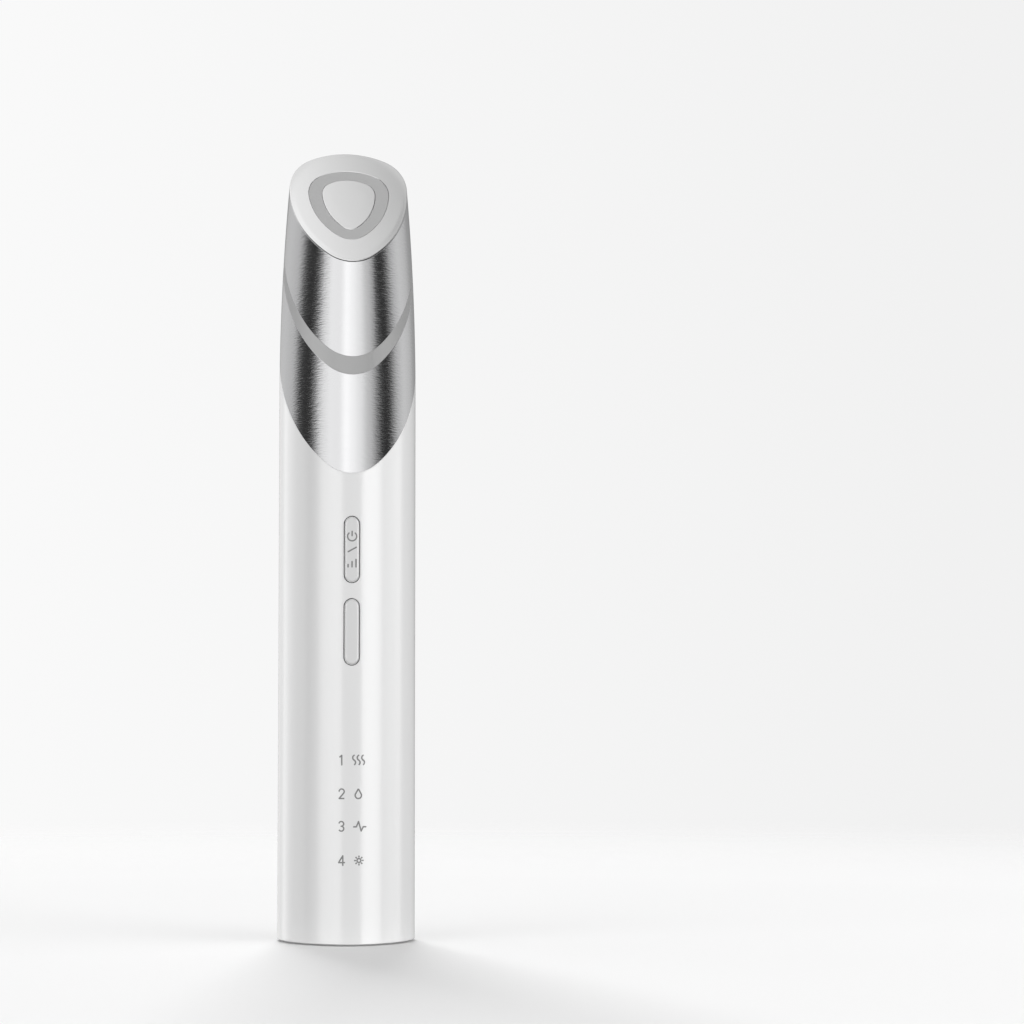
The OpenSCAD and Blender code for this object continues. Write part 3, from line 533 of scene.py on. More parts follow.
def blasted_metal():
    """Bead-blasted nickel-plated metal: the grit, 0.12 mm, shows as a fine grain in a soft sheen."""
    material, tree, shader = new_material("bead-blasted nickel plate", Base_Color=linear("DCDCDC"),
                                          Metallic=1.0, Roughness=0.2)
    grit = object_noise(tree, per_mm(0.12), 2)
    vary_roughness(tree, shader, grit, 0.18, 0.22)
    add_bump(tree, shader, grit, 0.002)
    return material


def frosted_diffuser():
    """Smoke-tinted polycarbonate with a frosted mould finish: light sinks a little way in."""
    material, tree, shader = new_material("frosted polycarbonate", Base_Color=linear("A6A6A6"),
                                          Roughness=0.42, Subsurface_Weight=0.25, Subsurface_Scale=0.001,
                                          IOR=1.585)
    shader.inputs["Subsurface Radius"].default_value = (1, 1, 1)
    frost = object_noise(tree, per_mm(0.25), 2)
    vary_roughness(tree, shader, frost, 0.38, 0.46)
    add_bump(tree, shader, frost, 0.002)
    return material


def moulded_plastic(name, colour, roughness=0.5, grain=0.4, depth=0.004):
    """ABS with a fine spark-eroded mould texture."""
    material, tree, shader = new_material(name, Base_Color=linear(colour), Roughness=roughness)
    texture = object_noise(tree, per_mm(grain), 2)
    vary_roughness(tree, shader, texture, roughness - 0.05, roughness + 0.05)
    add_bump(tree, shader, texture, depth)
    return material


def plain_metal(name, colour, roughness=0.3):
    """Metal with faint rolling marks."""
    material, tree, shader = new_material(name, Base_Color=linear(colour), Metallic=1.0, Roughness=roughness)
    marks = object_noise(tree, per_mm(0.8), 2, (1, 1, 4))
    vary_roughness(tree, shader, marks, roughness - 0.06, roughness + 0.06)
    return material


def circuit_laminate():
    """Glass-epoxy board: green mask, slightly darker between the weave's 0.5 mm threads."""
    material, tree, shader = new_material("green board laminate", Roughness=0.35, Coat_Weight=0.3)
    weave = object_noise(tree, per_mm(0.5), 1)
    colours = add_node(tree, "ShaderNodeValToRGB", {"Fac": weave.outputs["Fac"]})
    colours.color_ramp.elements[0].color = linear("0E3B22")
    colours.color_ramp.elements[1].color = linear("1E6B3C")
    tree.links.new(colours.outputs[0], shader.inputs["Base Color"])
    return material


def printed_ink():
    """Grey pad-printed ink, matt, with a slightly uneven film."""
    material, tree, shader = new_material("grey pad print", Base_Color=linear("808080"), Roughness=0.55)
    film = object_noise(tree, per_mm(0.3), 2)
    vary_roughness(tree, shader, film, 0.5, 0.6)
    return material


PEARL = pearl_lacquer("pearl satin lacquer", "E3E3E3")
BUTTON_PEARL = pearl_lacquer("pearl satin lacquer on the keys", "D6D6D6")
CHROME = satin_chrome()
NICKEL = blasted_metal()
DIFFUSER = frosted_diffuser()
INK = printed_ink()
CAP_PLASTIC = moulded_plastic("textured cap plastic", "D8D8D8", 0.5)
GASKET = moulded_plastic("black silicone gasket", "141414", 0.6)
INNER_PLASTIC = moulded_plastic("natural inner ABS", "D9D7D0", 0.5)
CHIP = moulded_plastic("black moulded epoxy", "1A1A1A", 0.45)
LAMP_RESIN = moulded_plastic("clear yellow lamp resin", "E6D9A8", 0.25)
FILM = moulded_plastic("amber polyimide film", "C77D22", 0.3)
FOAM = moulded_plastic("black adhesive foam", "262626", 0.85, 0.6, 0.02)
SHEATH = moulded_plastic("red silicone sheath", "A31C1C", 0.45)
LAMINATE = circuit_laminate()
BRASS = plain_metal("gold-plated brass", "D8B45A", 0.25)
STEEL = plain_metal("plated steel", "B9BABC", 0.28)
FOIL = plain_metal("aluminium cell foil", "C9CCD0", 0.35)
SLOT_MATERIALS = {
    "pearl_plastic": PEARL, "cap_plastic": CAP_PLASTIC, "silver_plating": CHROME, "face_metal": NICKEL,
    "diffuser": DIFFUSER, "gasket_rubber": GASKET, "inner_plastic": INNER_PLASTIC, "board_laminate": LAMINATE,
    "chip_plastic": CHIP, "lamp_resin": LAMP_RESIN, "contact_brass": BRASS, "steel": STEEL, "film": FILM,
    "cell_foil": FOIL, "foam": FOAM, "lead_sheath": SHEATH,
}


def dress_frame():
    """Gives every CAD node the material of its slot."""
    slots = {row["node"]: row["material_slot"] for row in frame["record"]["subparts"]}
    for name, node in frame["nodes"].items():
        node.data.materials.clear()
        node.data.materials.append(SLOT_MATERIALS[slots[name]])


dress_frame()


# ---------------------------------------------------------------- pills on the front corner
def pill_arcs(width, length):
    reach = (length - width) / 2
    yield Vector((0, reach, 0)), width / 2, 0, 180, PILL_STEPS
    yield Vector((0, -reach, 0)), width / 2, 180, 360, PILL_STEPS


def round_front(x, z, depth):
    """A flat drawing's point, wrapped round the front corner at a depth under its surface."""
    angle = x / BODY.corner_r
    radius = BODY.corner_r - depth
    return FRONT_CENTRE + Vector((radius * math.sin(angle), -radius * math.cos(angle), z))


def in_front(middle_z, inset, depth):
    def place(foot, out):
        point = foot - out * inset
        return round_front(point.x, middle_z + point.y, depth)
    return place


MODE_Z = SLEEVE_FRONT - BUTTON_DROP
LEVEL_Z = MODE_Z - BUTTON_PITCH


def opening_cutter(middle_z):
    """A pill-shaped plug that flares at the body's surface, so that it leaves a rounded opening."""
    bm = new_bmesh()
    flare = OPENING_FLARE
    places = [in_front(middle_z, -3 * flare, -2 * flare)]
    places += [in_front(middle_z, -flare * wide, flare * deep) for deep, wide in quarter()]
    places.append(in_front(middle_z, 0, SLEEVE_WALL * 2))
    plug(bm, outline(bm, pill_arcs(BUTTON_W + 2 * BUTTON_GAP, BUTTON_L + 2 * BUTTON_GAP)), places)
    return new_solid(bm, "cutter")


def cut_openings(piece, cutters):
    """Cuts the cutters out of a piece and deletes them."""
    for cutter in cutters:
        cut = piece.modifiers.new("opening", "BOOLEAN")
        cut.object = cutter
        cut.operation = "DIFFERENCE"
        cut.solver = "EXACT"
    graph = bpy.context.evaluated_depsgraph_get()
    mesh = bpy.data.meshes.new_from_object(piece.evaluated_get(graph))
    piece.modifiers.clear()
    piece.data = mesh
    for cutter in cutters:
        bpy.data.objects.remove(cutter)
    smooth(mesh)


def make_sleeve():
    """The long white tube, with a finer grid of loops where the two openings are cut."""
    below = Plane(LEVEL_Z - BUTTON_L / 2 - OPENING_MARGIN, 0)
    above = Plane(MODE_Z + BUTTON_L / 2 + OPENING_MARGIN, 0)
    outer = round_over(0, FOOT_TOP, EDGE_ROUND, rising=False)
    outer += wall(0, below, above, int((above.front - below.front) / OPENING_GRID))
    outer += wall(0, above, SLEEVE_TOP, SLEEVE_LOOPS, *SLEEVE_SPAN)
    outer += round_over(0, SLEEVE_TOP, SEAM_ROUND)
    inner = wall(SLEEVE_WALL, above, SLEEVE_TOP, INNER_LOOPS)[::-1] + [on_cut(SLEEVE_WALL, FOOT_TOP)]
    piece = make_tube("sleeve_skin", outer + inner, PEARL, "sleeve")
    cut_openings(piece, [opening_cutter(MODE_Z), opening_cutter(LEVEL_Z)])


def make_collar():
    """The silver tube above the sleeve, with a spigot that plugs into it."""
    spigot_out = SLEEVE_WALL + FIT_GAP
    spigot_in = spigot_out + SPIGOT_WALL
    ledge, spigot_low = SLEEVE_TOP.raised(LEDGE_RISE), SLEEVE_TOP.raised(-SPIGOT_H)
    outer = round_over(0, SLEEVE_TOP, SEAM_ROUND, rising=False)
    outer += wall(0, SLEEVE_TOP, BAND_LOW, SHELL_LOOPS, *SHELL_SPAN)
    outer += round_over(0, BAND_LOW, SEAM_ROUND)
    inner = wall(SHELL_WALL, ledge, BAND_LOW, INNER_LOOPS)[::-1]
    inner += [on_cut(spigot_in, ledge), on_cut(spigot_in, spigot_low), on_cut(spigot_out, spigot_low),
              on_cut(spigot_out, SLEEVE_TOP)]
    make_tube("collar_skin", outer + inner, CHROME, "collar")


def make_light_band():
    """The lens between the silver tubes, with a skirt into each of them."""
    skirt_out = SHELL_WALL + FIT_GAP
    skirt_in = skirt_out + SPIGOT_WALL
    outer = round_over(0, BAND_LOW, SEAM_ROUND / 2, rising=False)
    outer += wall(0, BAND_LOW, BAND_HIGH, BAND_LOOPS, *BAND_SPAN)
    outer += round_over(0, BAND_HIGH, SEAM_ROUND / 2)
    high, low = BAND_HIGH.raised(SKIRT_H), BAND_LOW.raised(-SKIRT_H)
    inner = [on_cut(skirt_out, BAND_HIGH), on_cut(skirt_out, high), on_cut(skirt_in, high),
             on_cut(skirt_in, low), on_cut(skirt_out, low), on_cut(skirt_out, BAND_LOW)]
    make_tube("light_band_lens", outer + inner, DIFFUSER, "light_band")


def make_upper_shell():
    outer = round_over(0, BAND_HIGH, SEAM_ROUND, rising=False)
    outer += wall(0, BAND_HIGH, SHELL_TOP, SHELL_LOOPS, *SHELL_SPAN)
    outer += round_over(0, SHELL_TOP, SEAM_ROUND / 2)
    inner = wall(SHELL_WALL, BAND_HIGH, SHELL_TOP, INNER_LOOPS)[::-1]
    make_tube("upper_shell_skin", outer + inner, CHROME, "upper_shell")


def make_gasket():
    section = [on_cut(GASKET_INSET, SHELL_TOP), on_cut(GASKET_INSET, PLATE_FOOT),
               on_cut(SHELL_WALL, PLATE_FOOT), on_cut(SHELL_WALL, SHELL_TOP)]
    make_tube("face_gasket_ring", section, GASKET, "face_gasket")


def make_face_plate():
    """A shallow pan: rounded edge, faintly crowned top, an opening for the light ring and a rim below."""
    bm = new_bmesh()
    outside = outline(bm, BODY.arcs())
    rim_out = SHELL_WALL + FIT_GAP
    rim_in = rim_out + SPIGOT_WALL
    rim_low = PLATE_UNDER.raised(-RIM_H)
    places = [on_cut(rim_in, PLATE_UNDER), on_cut(rim_in, rim_low), on_cut(rim_out, rim_low),
              on_cut(rim_out, PLATE_FOOT)]
    places += [on_cut(inset, PLATE_FOOT.raised(rise)) for inset, rise in PLATE_LIP]
    places += round_over(0, FACE, EDGE_ROUND)
    places += [on_cut(inset, FACE, crown=FACE_CROWN) for inset in PLATE_LOOPS]
    under, top = sweep(bm, outside, places)
    opening = [on_face(-FIT_GAP - ROUND_SUPPORT), on_face(-FIT_GAP), straight(-FIT_GAP, PLATE_UNDER)]
    hole_top, hole_low = sweep(bm, stretched(bm, RING, RING_STRETCH), opening)
    bridge(bm, top + hole_top, cuts=3)
    bridge(bm, under + hole_low)
    finish_piece(bm, "face_plate_pan", "housing", NICKEL, ["face_plate"])


def make_light_ring():
    """The lens ring in the plate: a flange below holds it, and a hair groove parts it from the metal."""
    bm = new_bmesh()
    flange_low = PLATE_UNDER.raised(-FLANGE_T * FACE_DROP)
    outer = [straight(-FLANGE_REACH, flange_low), straight(-FLANGE_REACH, PLATE_UNDER),
             straight(0, PLATE_UNDER), on_face(0, RING_GROOVE)]
    outer += [on_face(inset) for inset in (RING_GROOVE, RING_GROOVE + ROUND_SUPPORT, *RING_LOOPS)]
    low, top = sweep(bm, stretched(bm, RING, RING_STRETCH), outer)
    inner = [straight(FLANGE_REACH, flange_low), straight(FLANGE_REACH, PLATE_UNDER),
             straight(-FIT_GAP, PLATE_UNDER), on_face(-FIT_GAP, RING_GROOVE), on_face(-FIT_GAP - RING_GROOVE),
             on_face(-FIT_GAP - RING_GROOVE - ROUND_SUPPORT)]
    hole_low, hole_top = sweep(bm, stretched(bm, PAD, PAD_STRETCH), inner)
    bridge(bm, top + hole_top)
    bridge(bm, low + hole_low)
    finish_piece(bm, "light_ring_lens", "housing", DIFFUSER, ["light_ring"])


def make_centre_pad():
    bm = new_bmesh()
    places = [straight(0, PLATE_UNDER)]
    places += [on_face(PAD_ROUND * across, PAD_ROUND * down) for across, down in quarter()]
    places += [on_face(inset) for inset in (PAD_ROUND + ROUND_SUPPORT, *PAD_LOOPS)]
    plug(bm, stretched(bm, PAD, PAD_STRETCH), places)
    finish_piece(bm, "centre_pad_disc", "housing", NICKEL, ["centre_pad"])


def make_button(name, middle_z, body, node):
    """A pill cap with a softly rounded edge and a step in its side, wrapped round the front corner."""
    bm = new_bmesh()
    step = BUTTON_SLIT - BUTTON_GAP
    places = [in_front(middle_z, step, BUTTON_DEPTH), in_front(middle_z, step, BUTTON_STEP),
              in_front(middle_z, 0, BUTTON_STEP)]
    places += [in_front(middle_z, BUTTON_ROUND * across, BUTTON_ROUND * down - BUTTON_PROUD)
               for across, down in quarter(ROUND_STEPS + 1)]
    places += [in_front(middle_z, inset, -BUTTON_PROUD) for inset in BUTTON_LOOPS]
    plug(bm, outline(bm, pill_arcs(BUTTON_W, BUTTON_L)), places)
    finish_piece(bm, name, body, BUTTON_PEARL, [node], BUTTON_SHARP)


make_sleeve()
make_collar()
make_light_band()
make_upper_shell()
make_gasket()
make_face_plate()
make_light_ring()
make_centre_pad()
make_button("mode_button_cap", MODE_Z, "mode_key", "mode_button")
make_button("level_button_cap", LEVEL_Z, "level_key", "level_button")


# ---------------------------------------------------------------- the base and its socket
def box_arcs(width, depth, radius):
    """A rounded box seen from above, centred on the socket."""
    for turn, x, y in ((0, 1, 1), (90, -1, 1), (180, -1, -1), (270, 1, -1)):
        centre = Vector((x * (width / 2 - radius), SOCKET_Y + y * (depth / 2 - radius), 0))
        yield centre, radius, turn, turn + 90, BOX_STEPS


def level(inset, z):
    """A place at a plain height."""
    return straight(inset, Plane(z, 0))


def make_base_cap():
    """The foot the wand stands on, with a softly rounded lip round the socket, and its plug in the sleeve."""
    bm = new_bmesh()
    inside, plug_top = SLEEVE_WALL + FIT_GAP, FOOT_H + PLUG_H
    places = [level(CAP_INSET + inset, 0) for inset in CAP_LOOPS]
    places += [level(CAP_INSET + inset, rise) for inset, rise in CAP_ROUND]
    places += [level(CAP_INSET, FOOT_H), level(inside, FOOT_H), level(inside, plug_top)]
    under, top = sweep(bm, outline(bm, BODY.arcs()), places)
    lip = SOCKET_LIP
    places = [level(-lip - SOCKET_MARGIN, 0), level(-lip - ROUND_SUPPORT, 0)]
    places += [level(-lip * wide, lip * deep) for deep, wide in quarter(ROUND_STEPS + 1)]
    places += [level(0, lip + ROUND_SUPPORT), level(0, plug_top)]
    hole = outline(bm, box_arcs(SOCKET_W + 2 * FIT_GAP, SOCKET_T + 2 * FIT_GAP, SOCKET_ROUND))
    hole_under, hole_top = sweep(bm, hole, places)
    for flat in (under + hole_under, top + hole_top):
        bmesh.ops.triangle_fill(bm, edges=flat, use_beauty=True)
    finish_piece(bm, "base_cap_foot", "housing", CAP_PLASTIC, ["base_cap"])


SOCKET_TOP = SOCKET_RECESS + SOCKET_L
SOCKET_FLOOR = SOCKET_TOP - SOCKET_END
TONGUE_TIP = SOCKET_RECESS + TONGUE_T


def make_socket_shell():
    """A drawn metal shell with a rolled mouth."""
    bm = new_bmesh()
    roll, mouth = SOCKET_SHEET / 2, SOCKET_RECESS + SOCKET_SHEET
    places = [level(0, SOCKET_TOP), level(0, mouth)]
    for k in range(5):
        angle = math.pi * k / 4
        places.append(level(roll * (1 - math.cos(angle)), SOCKET_RECESS + roll * (1 - math.sin(angle))))
    places += [level(SOCKET_SHEET, mouth), level(SOCKET_SHEET, SOCKET_FLOOR)]
    plug(bm, outline(bm, box_arcs(SOCKET_W, SOCKET_T, SOCKET_ROUND)), places)
    finish_piece(bm, "socket_shell", "housing", STEEL, ["charging_socket"])


def make_socket_tongue():
    bm = new_bmesh()
    inset, nose = TONGUE_NOSE
    places = [level(inset, TONGUE_TIP), level(0, TONGUE_TIP + nose), level(0, SOCKET_FLOOR)]
    plug(bm, outline(bm, box_arcs(TONGUE_W, TONGUE_T, TONGUE_ROUND)), places)
    finish_piece(bm, "socket_tongue", "housing", CHIP)


def make_socket_contacts():
    """A row of contacts on each side of the tongue."""
    bm = bmesh.new()
    low = TONGUE_TIP + CONTACT_START
    for side in (-1, 1):
        for k in range(CONTACTS):
            at = Vector(((k - (CONTACTS - 1) / 2) * CONTACT_PITCH, SOCKET_Y + side * TONGUE_T / 2,
                         (low + SOCKET_FLOOR) / 2))
            made = bmesh.ops.create_cube(bm, size=1, matrix=Matrix.Translation(at))
            bmesh.ops.scale(bm, vec=(CONTACT_W, CONTACT_T, SOCKET_FLOOR - low), verts=made["verts"],
                            space=Matrix.Translation(-at))
    finish_piece(bm, "socket_contacts", "housing", BRASS)


make_base_cap()
make_socket_shell()
make_socket_tongue()
make_socket_contacts()


# ---------------------------------------------------------------- printed marks
# Steps, in millimetres, along a straight and a bent stroke, and round a stroke's end.
LINE_STEP, ARC_STEP, NIB_STEPS = 0.15, 0.12, 8


class Drawing:
    """Strokes of ink on a flat sheet, in millimetres, that are then laid round the front corner."""

    def __init__(self, width):
        self.bm, self.width, self.strokes = new_bmesh(), width, 0
        self.sheet = layers(self.bm)[0]

    def spin(self, verts, edges, centre, angle, steps, step=None):
        options = {"dvec": step} if step else {}
        return bmesh.ops.spin(self.bm, geom=verts + edges, cent=centre, axis=(0, 0, 1), angle=angle,
                              steps=steps, **options)["geom_last"]

    def nib(self, middle, across, centre, angle, steps, step=None):
        """Draws one stroke with an edge across the pen's path and rounds both its ends."""
        bm, known = self.bm, set(self.bm.verts)
        reach = across * self.width / 2
        pair = [bm.verts.new(middle + reach), bm.verts.new(middle - reach)]
        last = self.spin(pair, [bm.edges.new(pair)], centre, angle, steps, step)
        far = [g for g in last if isinstance(g, bmesh.types.BMVert)]
        half_turn = math.pi if angle >= 0 else -math.pi
        for one, other, turn in ((pair[0], pair[1], -half_turn), (far[0], far[1], half_turn)):
            hub = bm.verts.new((one.co + other.co) / 2)
            self.spin([hub, one], [bm.edges.new((hub, one))], hub.co.copy(), turn, NIB_STEPS)
        self.strokes += 1
        made = [vert for vert in bm.verts if vert not in known]
        bmesh.ops.remove_doubles(bm, verts=made, dist=MERGE_FLAT)
        for vert in (vert for vert in made if vert.is_valid):
            vert[self.sheet] = (vert.co.x, vert.co.y, self.strokes)

    def line(self, x1, y1, x2, y2):
        start, way = Vector((x1, y1, 0)), Vector((x2 - x1, y2 - y1, 0))
        steps = max(1, round(way.length / LINE_STEP))
        self.nib(start, way.normalized().cross(Vector((0, 0, 1))), start, 0, steps, way / steps)

    def arc(self, x, y, radius, start, end):
        centre, angle = Vector((x, y, 0)), math.radians(end - start)
        self.nib(centre + radius * heading(start), heading(start), centre, angle,
                 max(3, round(abs(angle) * radius / ARC_STEP)))

    def lay(self, name, x, z, body):
        """Wraps the drawing round the front corner, sunk a little way in, and makes it a piece."""
        bm = self.bm
        bmesh.ops.delete(bm, geom=[edge for edge in bm.edges if not edge.link_faces], context="EDGES")
        shown = set(bm.verts)
        bmesh.ops.extrude_face_region(bm, geom=list(bm.faces), use_keep_orig=True)
        for vert in bm.verts:
            flat = vert[self.sheet]
            depth = -INK_T - STROKE_RISE * flat.z if vert in shown else INK_T
            vert.co = round_front(x + flat.x, z + flat.y, depth - (BUTTON_PROUD if body != "housing" else 0))
        finish_piece(bm, name, body, INK)


def draw_numeral(drawing, number):
    """A numeral from the drawing's left edge, as high above its middle as below."""
    top = NUMERAL_TOP
    if number == 1:
        drawing.line(0.55, -top, 0.55, top)
        drawing.line(0.55, top, 0.12, 0.5)
    elif number == 2:
        drawing.arc(0.55, 0.4, 0.48, 170, -35)
        drawing.line(0.943, 0.125, 0.08, -top)
        drawing.line(0.08, -top, 1.05, -top)
    elif number == 3:
        drawing.arc(0.5, 0.44, 0.44, 155, -90)
        drawing.arc(0.5, -0.44, 0.46, 90, -155)
    else:
        drawing.line(0.8, -top, 0.8, top)
        drawing.line(0.8, top, 0.02, -0.38)
        drawing.line(0.02, -0.38, 1.1, -0.38)


def draw_waves(drawing, x):
    for across in (0, 0.85, 1.7):
        drawing.arc(x + across + 0.28, 0.44, 0.5, 118, 242)
        drawing.arc(x + across - 0.19, -0.44, 0.5, 62, -62)


def draw_drop(drawing, x):
    drawing.arc(x + 0.85, -0.3, 0.6, 160, 380)
    drawing.line(x + 0.286, -0.095, x + 0.85, 0.9)
    drawing.line(x + 1.414, -0.095, x + 0.85, 0.9)


def draw_pulse(drawing, x):
    points = ((0, -0.1), (0.5, -0.1), (0.9, NUMERAL_TOP), (1.4, -NUMERAL_TOP), (1.8, -0.1), (2.3, -0.1))
    for (x1, y1), (x2, y2) in zip(points, points[1:]):
        drawing.line(x + x1, y1, x + x2, y2)


def draw_lamp(drawing, x):
    drawing.arc(x + 1, 0, 0.36, 0, 359)
    for turn in range(0, 360, 45):
        way = heading(turn)
        drawing.line(x + 1 + 0.66 * way.x, 0.66 * way.y, x + 1 + 0.9 * way.x, 0.9 * way.y)


def make_marks():
    """The modes' numerals and pictograms, and the power symbol, slash and rising bars on the upper key."""
    for number, (z, draw) in enumerate(zip(MARK_Z, (draw_waves, draw_drop, draw_pulse, draw_lamp)), 1):
        drawing = Drawing(MARK_PEN)
        draw_numeral(drawing, number)
        draw(drawing, PICTOGRAM_X)
        drawing.lay(f"mode_mark_{number}", MARK_X, z, "housing")
    drawing = Drawing(MARK_PEN)
    drawing.arc(0, 2.42, 0.83, 133, 407)
    drawing.line(0, 2.55, 0, 3.45)
    drawing.line(-0.7, -0.42, 0.85, 0.45)
    for x, height in ((-0.72, 0.55), (0, 1.0), (0.72, 1.5)):
        drawing.line(x, -3.25, x, -3.25 + height)
    drawing.lay("power_mark", 0, MODE_Z, "mode_key")


make_marks()


# ---------------------------------------------------------------- studio
# In metres: where the table top starts to fade and where it is gone, and the foot disc's radius and height.
FLOOR_FADE = (0.22, 0.6)
FOOT_DISC_R, FOOT_DISC_Z = 0.0165, -0.05 * MM


def blend(tree, share, first, second):
    """A number that goes from first to second as share goes from 0 to 1."""
    return add_node(tree, "ShaderNodeMix", {0: share, 2: first, 3: second}, data_type="FLOAT").outputs[0]


def dot_product(tree, vector, other):
    made = add_node(tree, "ShaderNodeVectorMath", {0: vector, 1: other}, operation="DOT_PRODUCT")
    return made.outputs["Value"]


def disc(name, radius):
    bm = bmesh.new()
    bmesh.ops.create_circle(bm, cap_ends=True, radius=radius, segments=96)
    return new_object(bm, name)


def make_floor():
    """A white table top that fades into the backdrop, so that no horizon shows, and keeps the shadow.

    Only the camera sees it; what the wand mirrors and is lit by passes it, all but a disc under the foot.
    """
    floor, foot = disc("floor", FLOOR_FADE[1] * 1.05), disc("foot disc", FOOT_DISC_R)
    floor.visible_diffuse = floor.visible_glossy = floor.visible_transmission = floor.visible_shadow = False
    foot.visible_camera = foot.visible_shadow = False
    foot.location.z = FOOT_DISC_Z
    material = bpy.data.materials.new("white table top")
    material.use_nodes = True
    tree = material.node_tree
    shader = tree.nodes["Principled BSDF"]
    shader.inputs["Base Color"].default_value = linear("F2F2F2")
    shader.inputs["Roughness"].default_value = 0.7
    shader.inputs["Specular IOR Level"].default_value = 0
    place = add_node(tree, "ShaderNodeTexCoord").outputs["Object"]
    away = add_node(tree, "ShaderNodeVectorMath", {0: place}, operation="LENGTH").outputs["Value"]
    fade = remap(tree, away, *FLOOR_FADE, interpolation_type="SMOOTHSTEP")
    clear = add_node(tree, "ShaderNodeBsdfTransparent").outputs[0]
    mix = add_node(tree, "ShaderNodeMixShader", {0: fade, 1: shader.outputs[0], 2: clear})
    tree.links.new(mix.outputs[0], tree.nodes["Material Output"].inputs["Surface"])
    for piece in (floor, foot):
        piece.data.materials.append(material)
    return floor


# What polished metal mirrors all round, from directly behind (-180) through the front (0) to behind
# (180), anticlockwise from below: white panels with two black flags, one on each side of the camera.
PANELS = ((-180, 0.3), (-166, 0.6), (-148, 0.66), (-122, 0.6), (-106, 0.05), (-89, 0.02), (-84, 0.08),
          (-70, 0.98), (-58, 1.1), (-32, 1.08), (-12, 1.35), (6, 1.2), (20, 1.05), (48, 0.66), (66, 0.42),
          (76, 0.04), (88, 0.02), (106, 0.6), (118, 0.74), (132, 0.64), (156, 0.37), (180, 0.28))

# How far the panels' bearings open out with height, and the heights at which the ceiling takes over.
PANEL_LEAN, PANEL_OPEN = 0.65, 0.94
CEILING_RISE = (0.55, 0.85)

# Each as first place, last place, and brightness at both: the ceiling from the camera's side to straight
# above, the light on satin pieces from left to right, and the backdrop from left to right. The ceiling
# falls off to dark, at its right edge, along a direction of its own.
CEILING_LIGHT = (-0.4, 0.0, 0.95, 1.36)
CEILING_WAY, CEILING_EDGE, CEILING_DARK = (1, 0.25, 0), (0.03, 0.15), 0.38
SOFT_WAY, SOFT_LIGHT = (0.75, 0.66, 0), (-0.2, 0.9, 0.3, 0.1)
BACKDROP = (-0.08, 0.24, 0.955, 0.88)


def make_world():
    """White behind the wand, panels and flags for what mirrors, and plain soft light for the rest."""
    world = bpy.data.worlds.new("studio")
    world.use_nodes = True
    bpy.context.scene.world = world
    tree = world.node_tree
    background = tree.nodes["Background"]
    direction = add_node(tree, "ShaderNodeTexCoord").outputs["Generated"]
    axes = add_node(tree, "ShaderNodeSeparateXYZ", {"Vector": direction})
    front = add_node(tree, "ShaderNodeMath", {0: axes.outputs["Y"], 1: -1.0}, operation="MULTIPLY")
    azimuth = add_node(tree, "ShaderNodeMath", {0: axes.outputs["X"], 1: front.outputs[0]},
                       operation="ARCTAN2")
    lean = add_node(tree, "ShaderNodeMath", {0: axes.outputs["Z"], 1: PANEL_LEAN, 2: PANEL_OPEN},
                    operation="MULTIPLY_ADD")
    leant = add_node(tree, "ShaderNodeMath", {0: azimuth.outputs[0], 1: lean.outputs[0]},
                     operation="MULTIPLY")
    panels = add_node(tree, "ShaderNodeValToRGB", {"Fac": remap(tree, leant.outputs[0], -math.pi, math.pi)})
    ramp = panels.color_ramp
    ramp.interpolation = "EASE"
    while len(ramp.elements) < len(PANELS):
        ramp.elements.new(0.5)
    for element, (degrees, light) in zip(ramp.elements, PANELS):
        element.position = (degrees + 180) / 360
        element.color = (light, light, light, 1)
    ceiling = remap(tree, axes.outputs["Y"], *CEILING_LIGHT)
    overhead = remap(tree, dot_product(tree, direction, CEILING_WAY), *CEILING_EDGE, ceiling, CEILING_DARK)
    high = remap(tree, axes.outputs["Z"], *CEILING_RISE)
    mirrored = blend(tree, high, panels.outputs[0], overhead)
    soft = remap(tree, dot_product(tree, direction, SOFT_WAY), *SOFT_LIGHT)
    path = add_node(tree, "ShaderNodeLightPath").outputs
    glossy = blend(tree, path["Is Glossy Ray"], soft, mirrored)
    shown = blend(tree, path["Is Camera Ray"], glossy, remap(tree, axes.outputs["X"], *BACKDROP))
    tree.links.new(shown, background.inputs["Strength"])
    background.inputs["Color"].default_value = (1, 1, 1, 1)


# Lamps at the wand's height: name, bearing from the front in degrees, size in metres and radiance.
SATIN_LAMPS = (("right bank", 53, (0.8, 0.6), 3.35), ("right side", 97, (0.5, 0.6), 1.7),
               ("left bank", -47, (0.86, 0.6), 2.45), ("left side", -118, (0.85, 0.6), 0.95),
               ("left rim", -150, (0.6, 0.6), 0.3))
LENS_LAMPS = (("lens front", -2, (1.8, 0.6), 1.55), ("lens left", -80, (0.6, 0.6), 2.4),
              ("lens right", 80, (0.6, 0.6), 2.4))

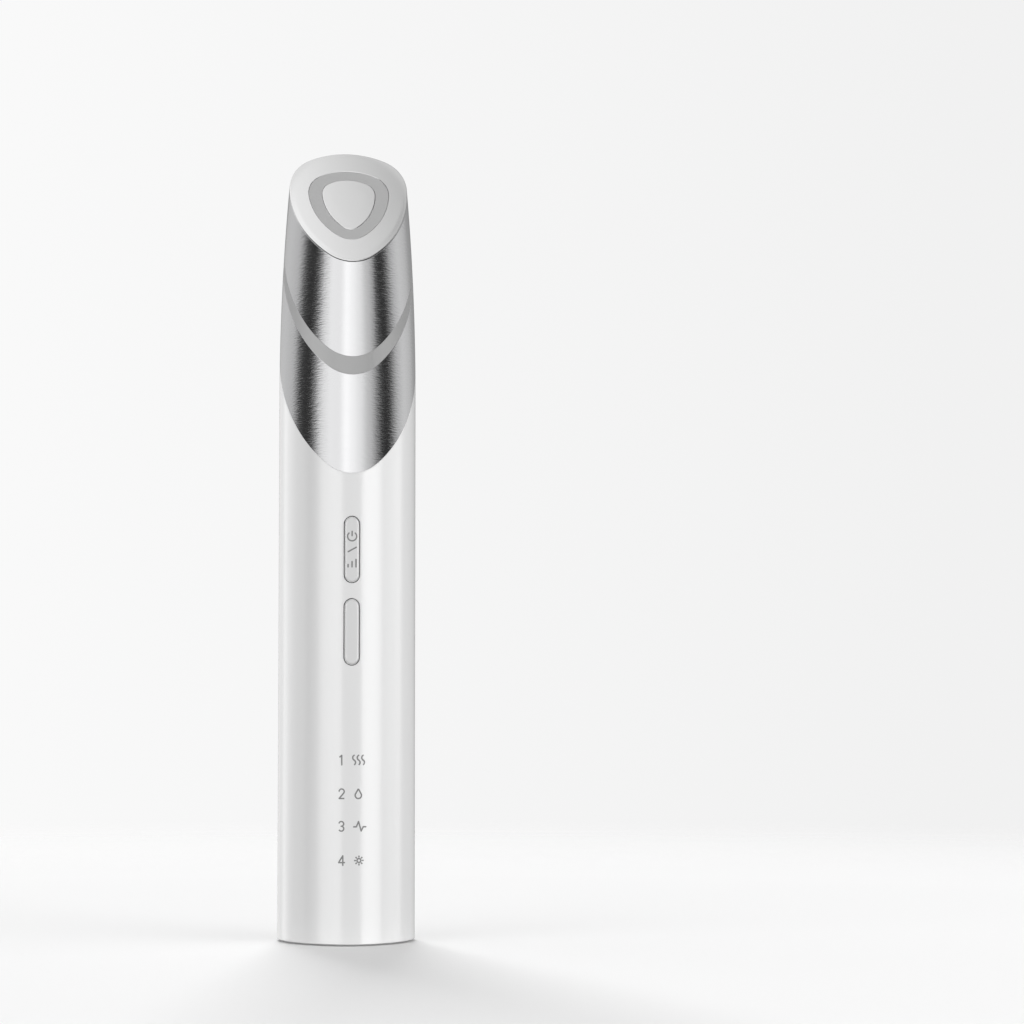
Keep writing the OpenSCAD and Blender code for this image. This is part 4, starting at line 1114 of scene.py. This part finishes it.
# Height and distance, in metres, of those lamps, of the window behind the wand and of the panels above it.
ROUND_ABOUT = (0.15, 0.9)
WINDOW = (2.0, 3.0)
ABOVE, ABOVE_SIZE = (2.0, 0.2), (2.5, 2.5)
LAMPS_AIM = Vector((0, 0, 0.07))


def area_lamp(name, degrees, size, radiance, lit, place=ROUND_ABOUT):
    """A soft panel lamp at a bearing from the front, aimed at the wand, that lights only one collection."""
    height, away = place
    data = bpy.data.lights.new(name, "AREA")
    data.shape = "RECTANGLE"
    data.size, data.size_y = size
    data.energy = radiance * math.pi * size[0] * size[1]
    lamp = bpy.data.objects.new(name, data)
    bearing = math.radians(degrees)
    lamp.location = (away * math.sin(bearing), -away * math.cos(bearing), height)
    lamp.rotation_euler = (LAMPS_AIM - lamp.location).to_track_quat("-Z", "Y").to_euler()
    bpy.context.scene.collection.objects.link(lamp)
    lamp.light_linking.receiver_collection = lit


def lit_only(name, pieces):
    """A collection for a lamp that lights only some pieces."""
    lit = bpy.data.collections.new(name)
    for piece in pieces:
        lit.objects.link(piece)
    return lit


def make_lamps(floor):
    """Lamps for the satin pieces with the table top, for the lenses, and for the table top alone.

    The outer metal and the base cap have only the world's light.
    """
    pieces = [piece for piece in bpy.context.scene.objects if piece.type == "MESH"]
    satin = lit_only("satin pieces", [piece for piece in pieces if piece.data.materials[0] not in
                                      (CHROME, NICKEL, STEEL, BRASS, DIFFUSER, CAP_PLASTIC)])
    lenses = lit_only("lenses", [piece for piece in pieces if piece.data.materials[0] == DIFFUSER])
    table = lit_only("table top", [floor])
    for lamp in SATIN_LAMPS:
        area_lamp(*lamp, satin)
    for lamp in LENS_LAMPS:
        area_lamp(*lamp, lenses)
    area_lamp("lens top", -90, ABOVE_SIZE, 0.92, lenses, ABOVE)
    area_lamp("window", -178, (1.3, 1.3), 18, table, WINDOW)
    area_lamp("ceiling", -90, ABOVE_SIZE, 0.6, table, ABOVE)


make_lamps(make_floor())
make_world()
bpy.context.scene.view_settings.view_transform = "Standard"
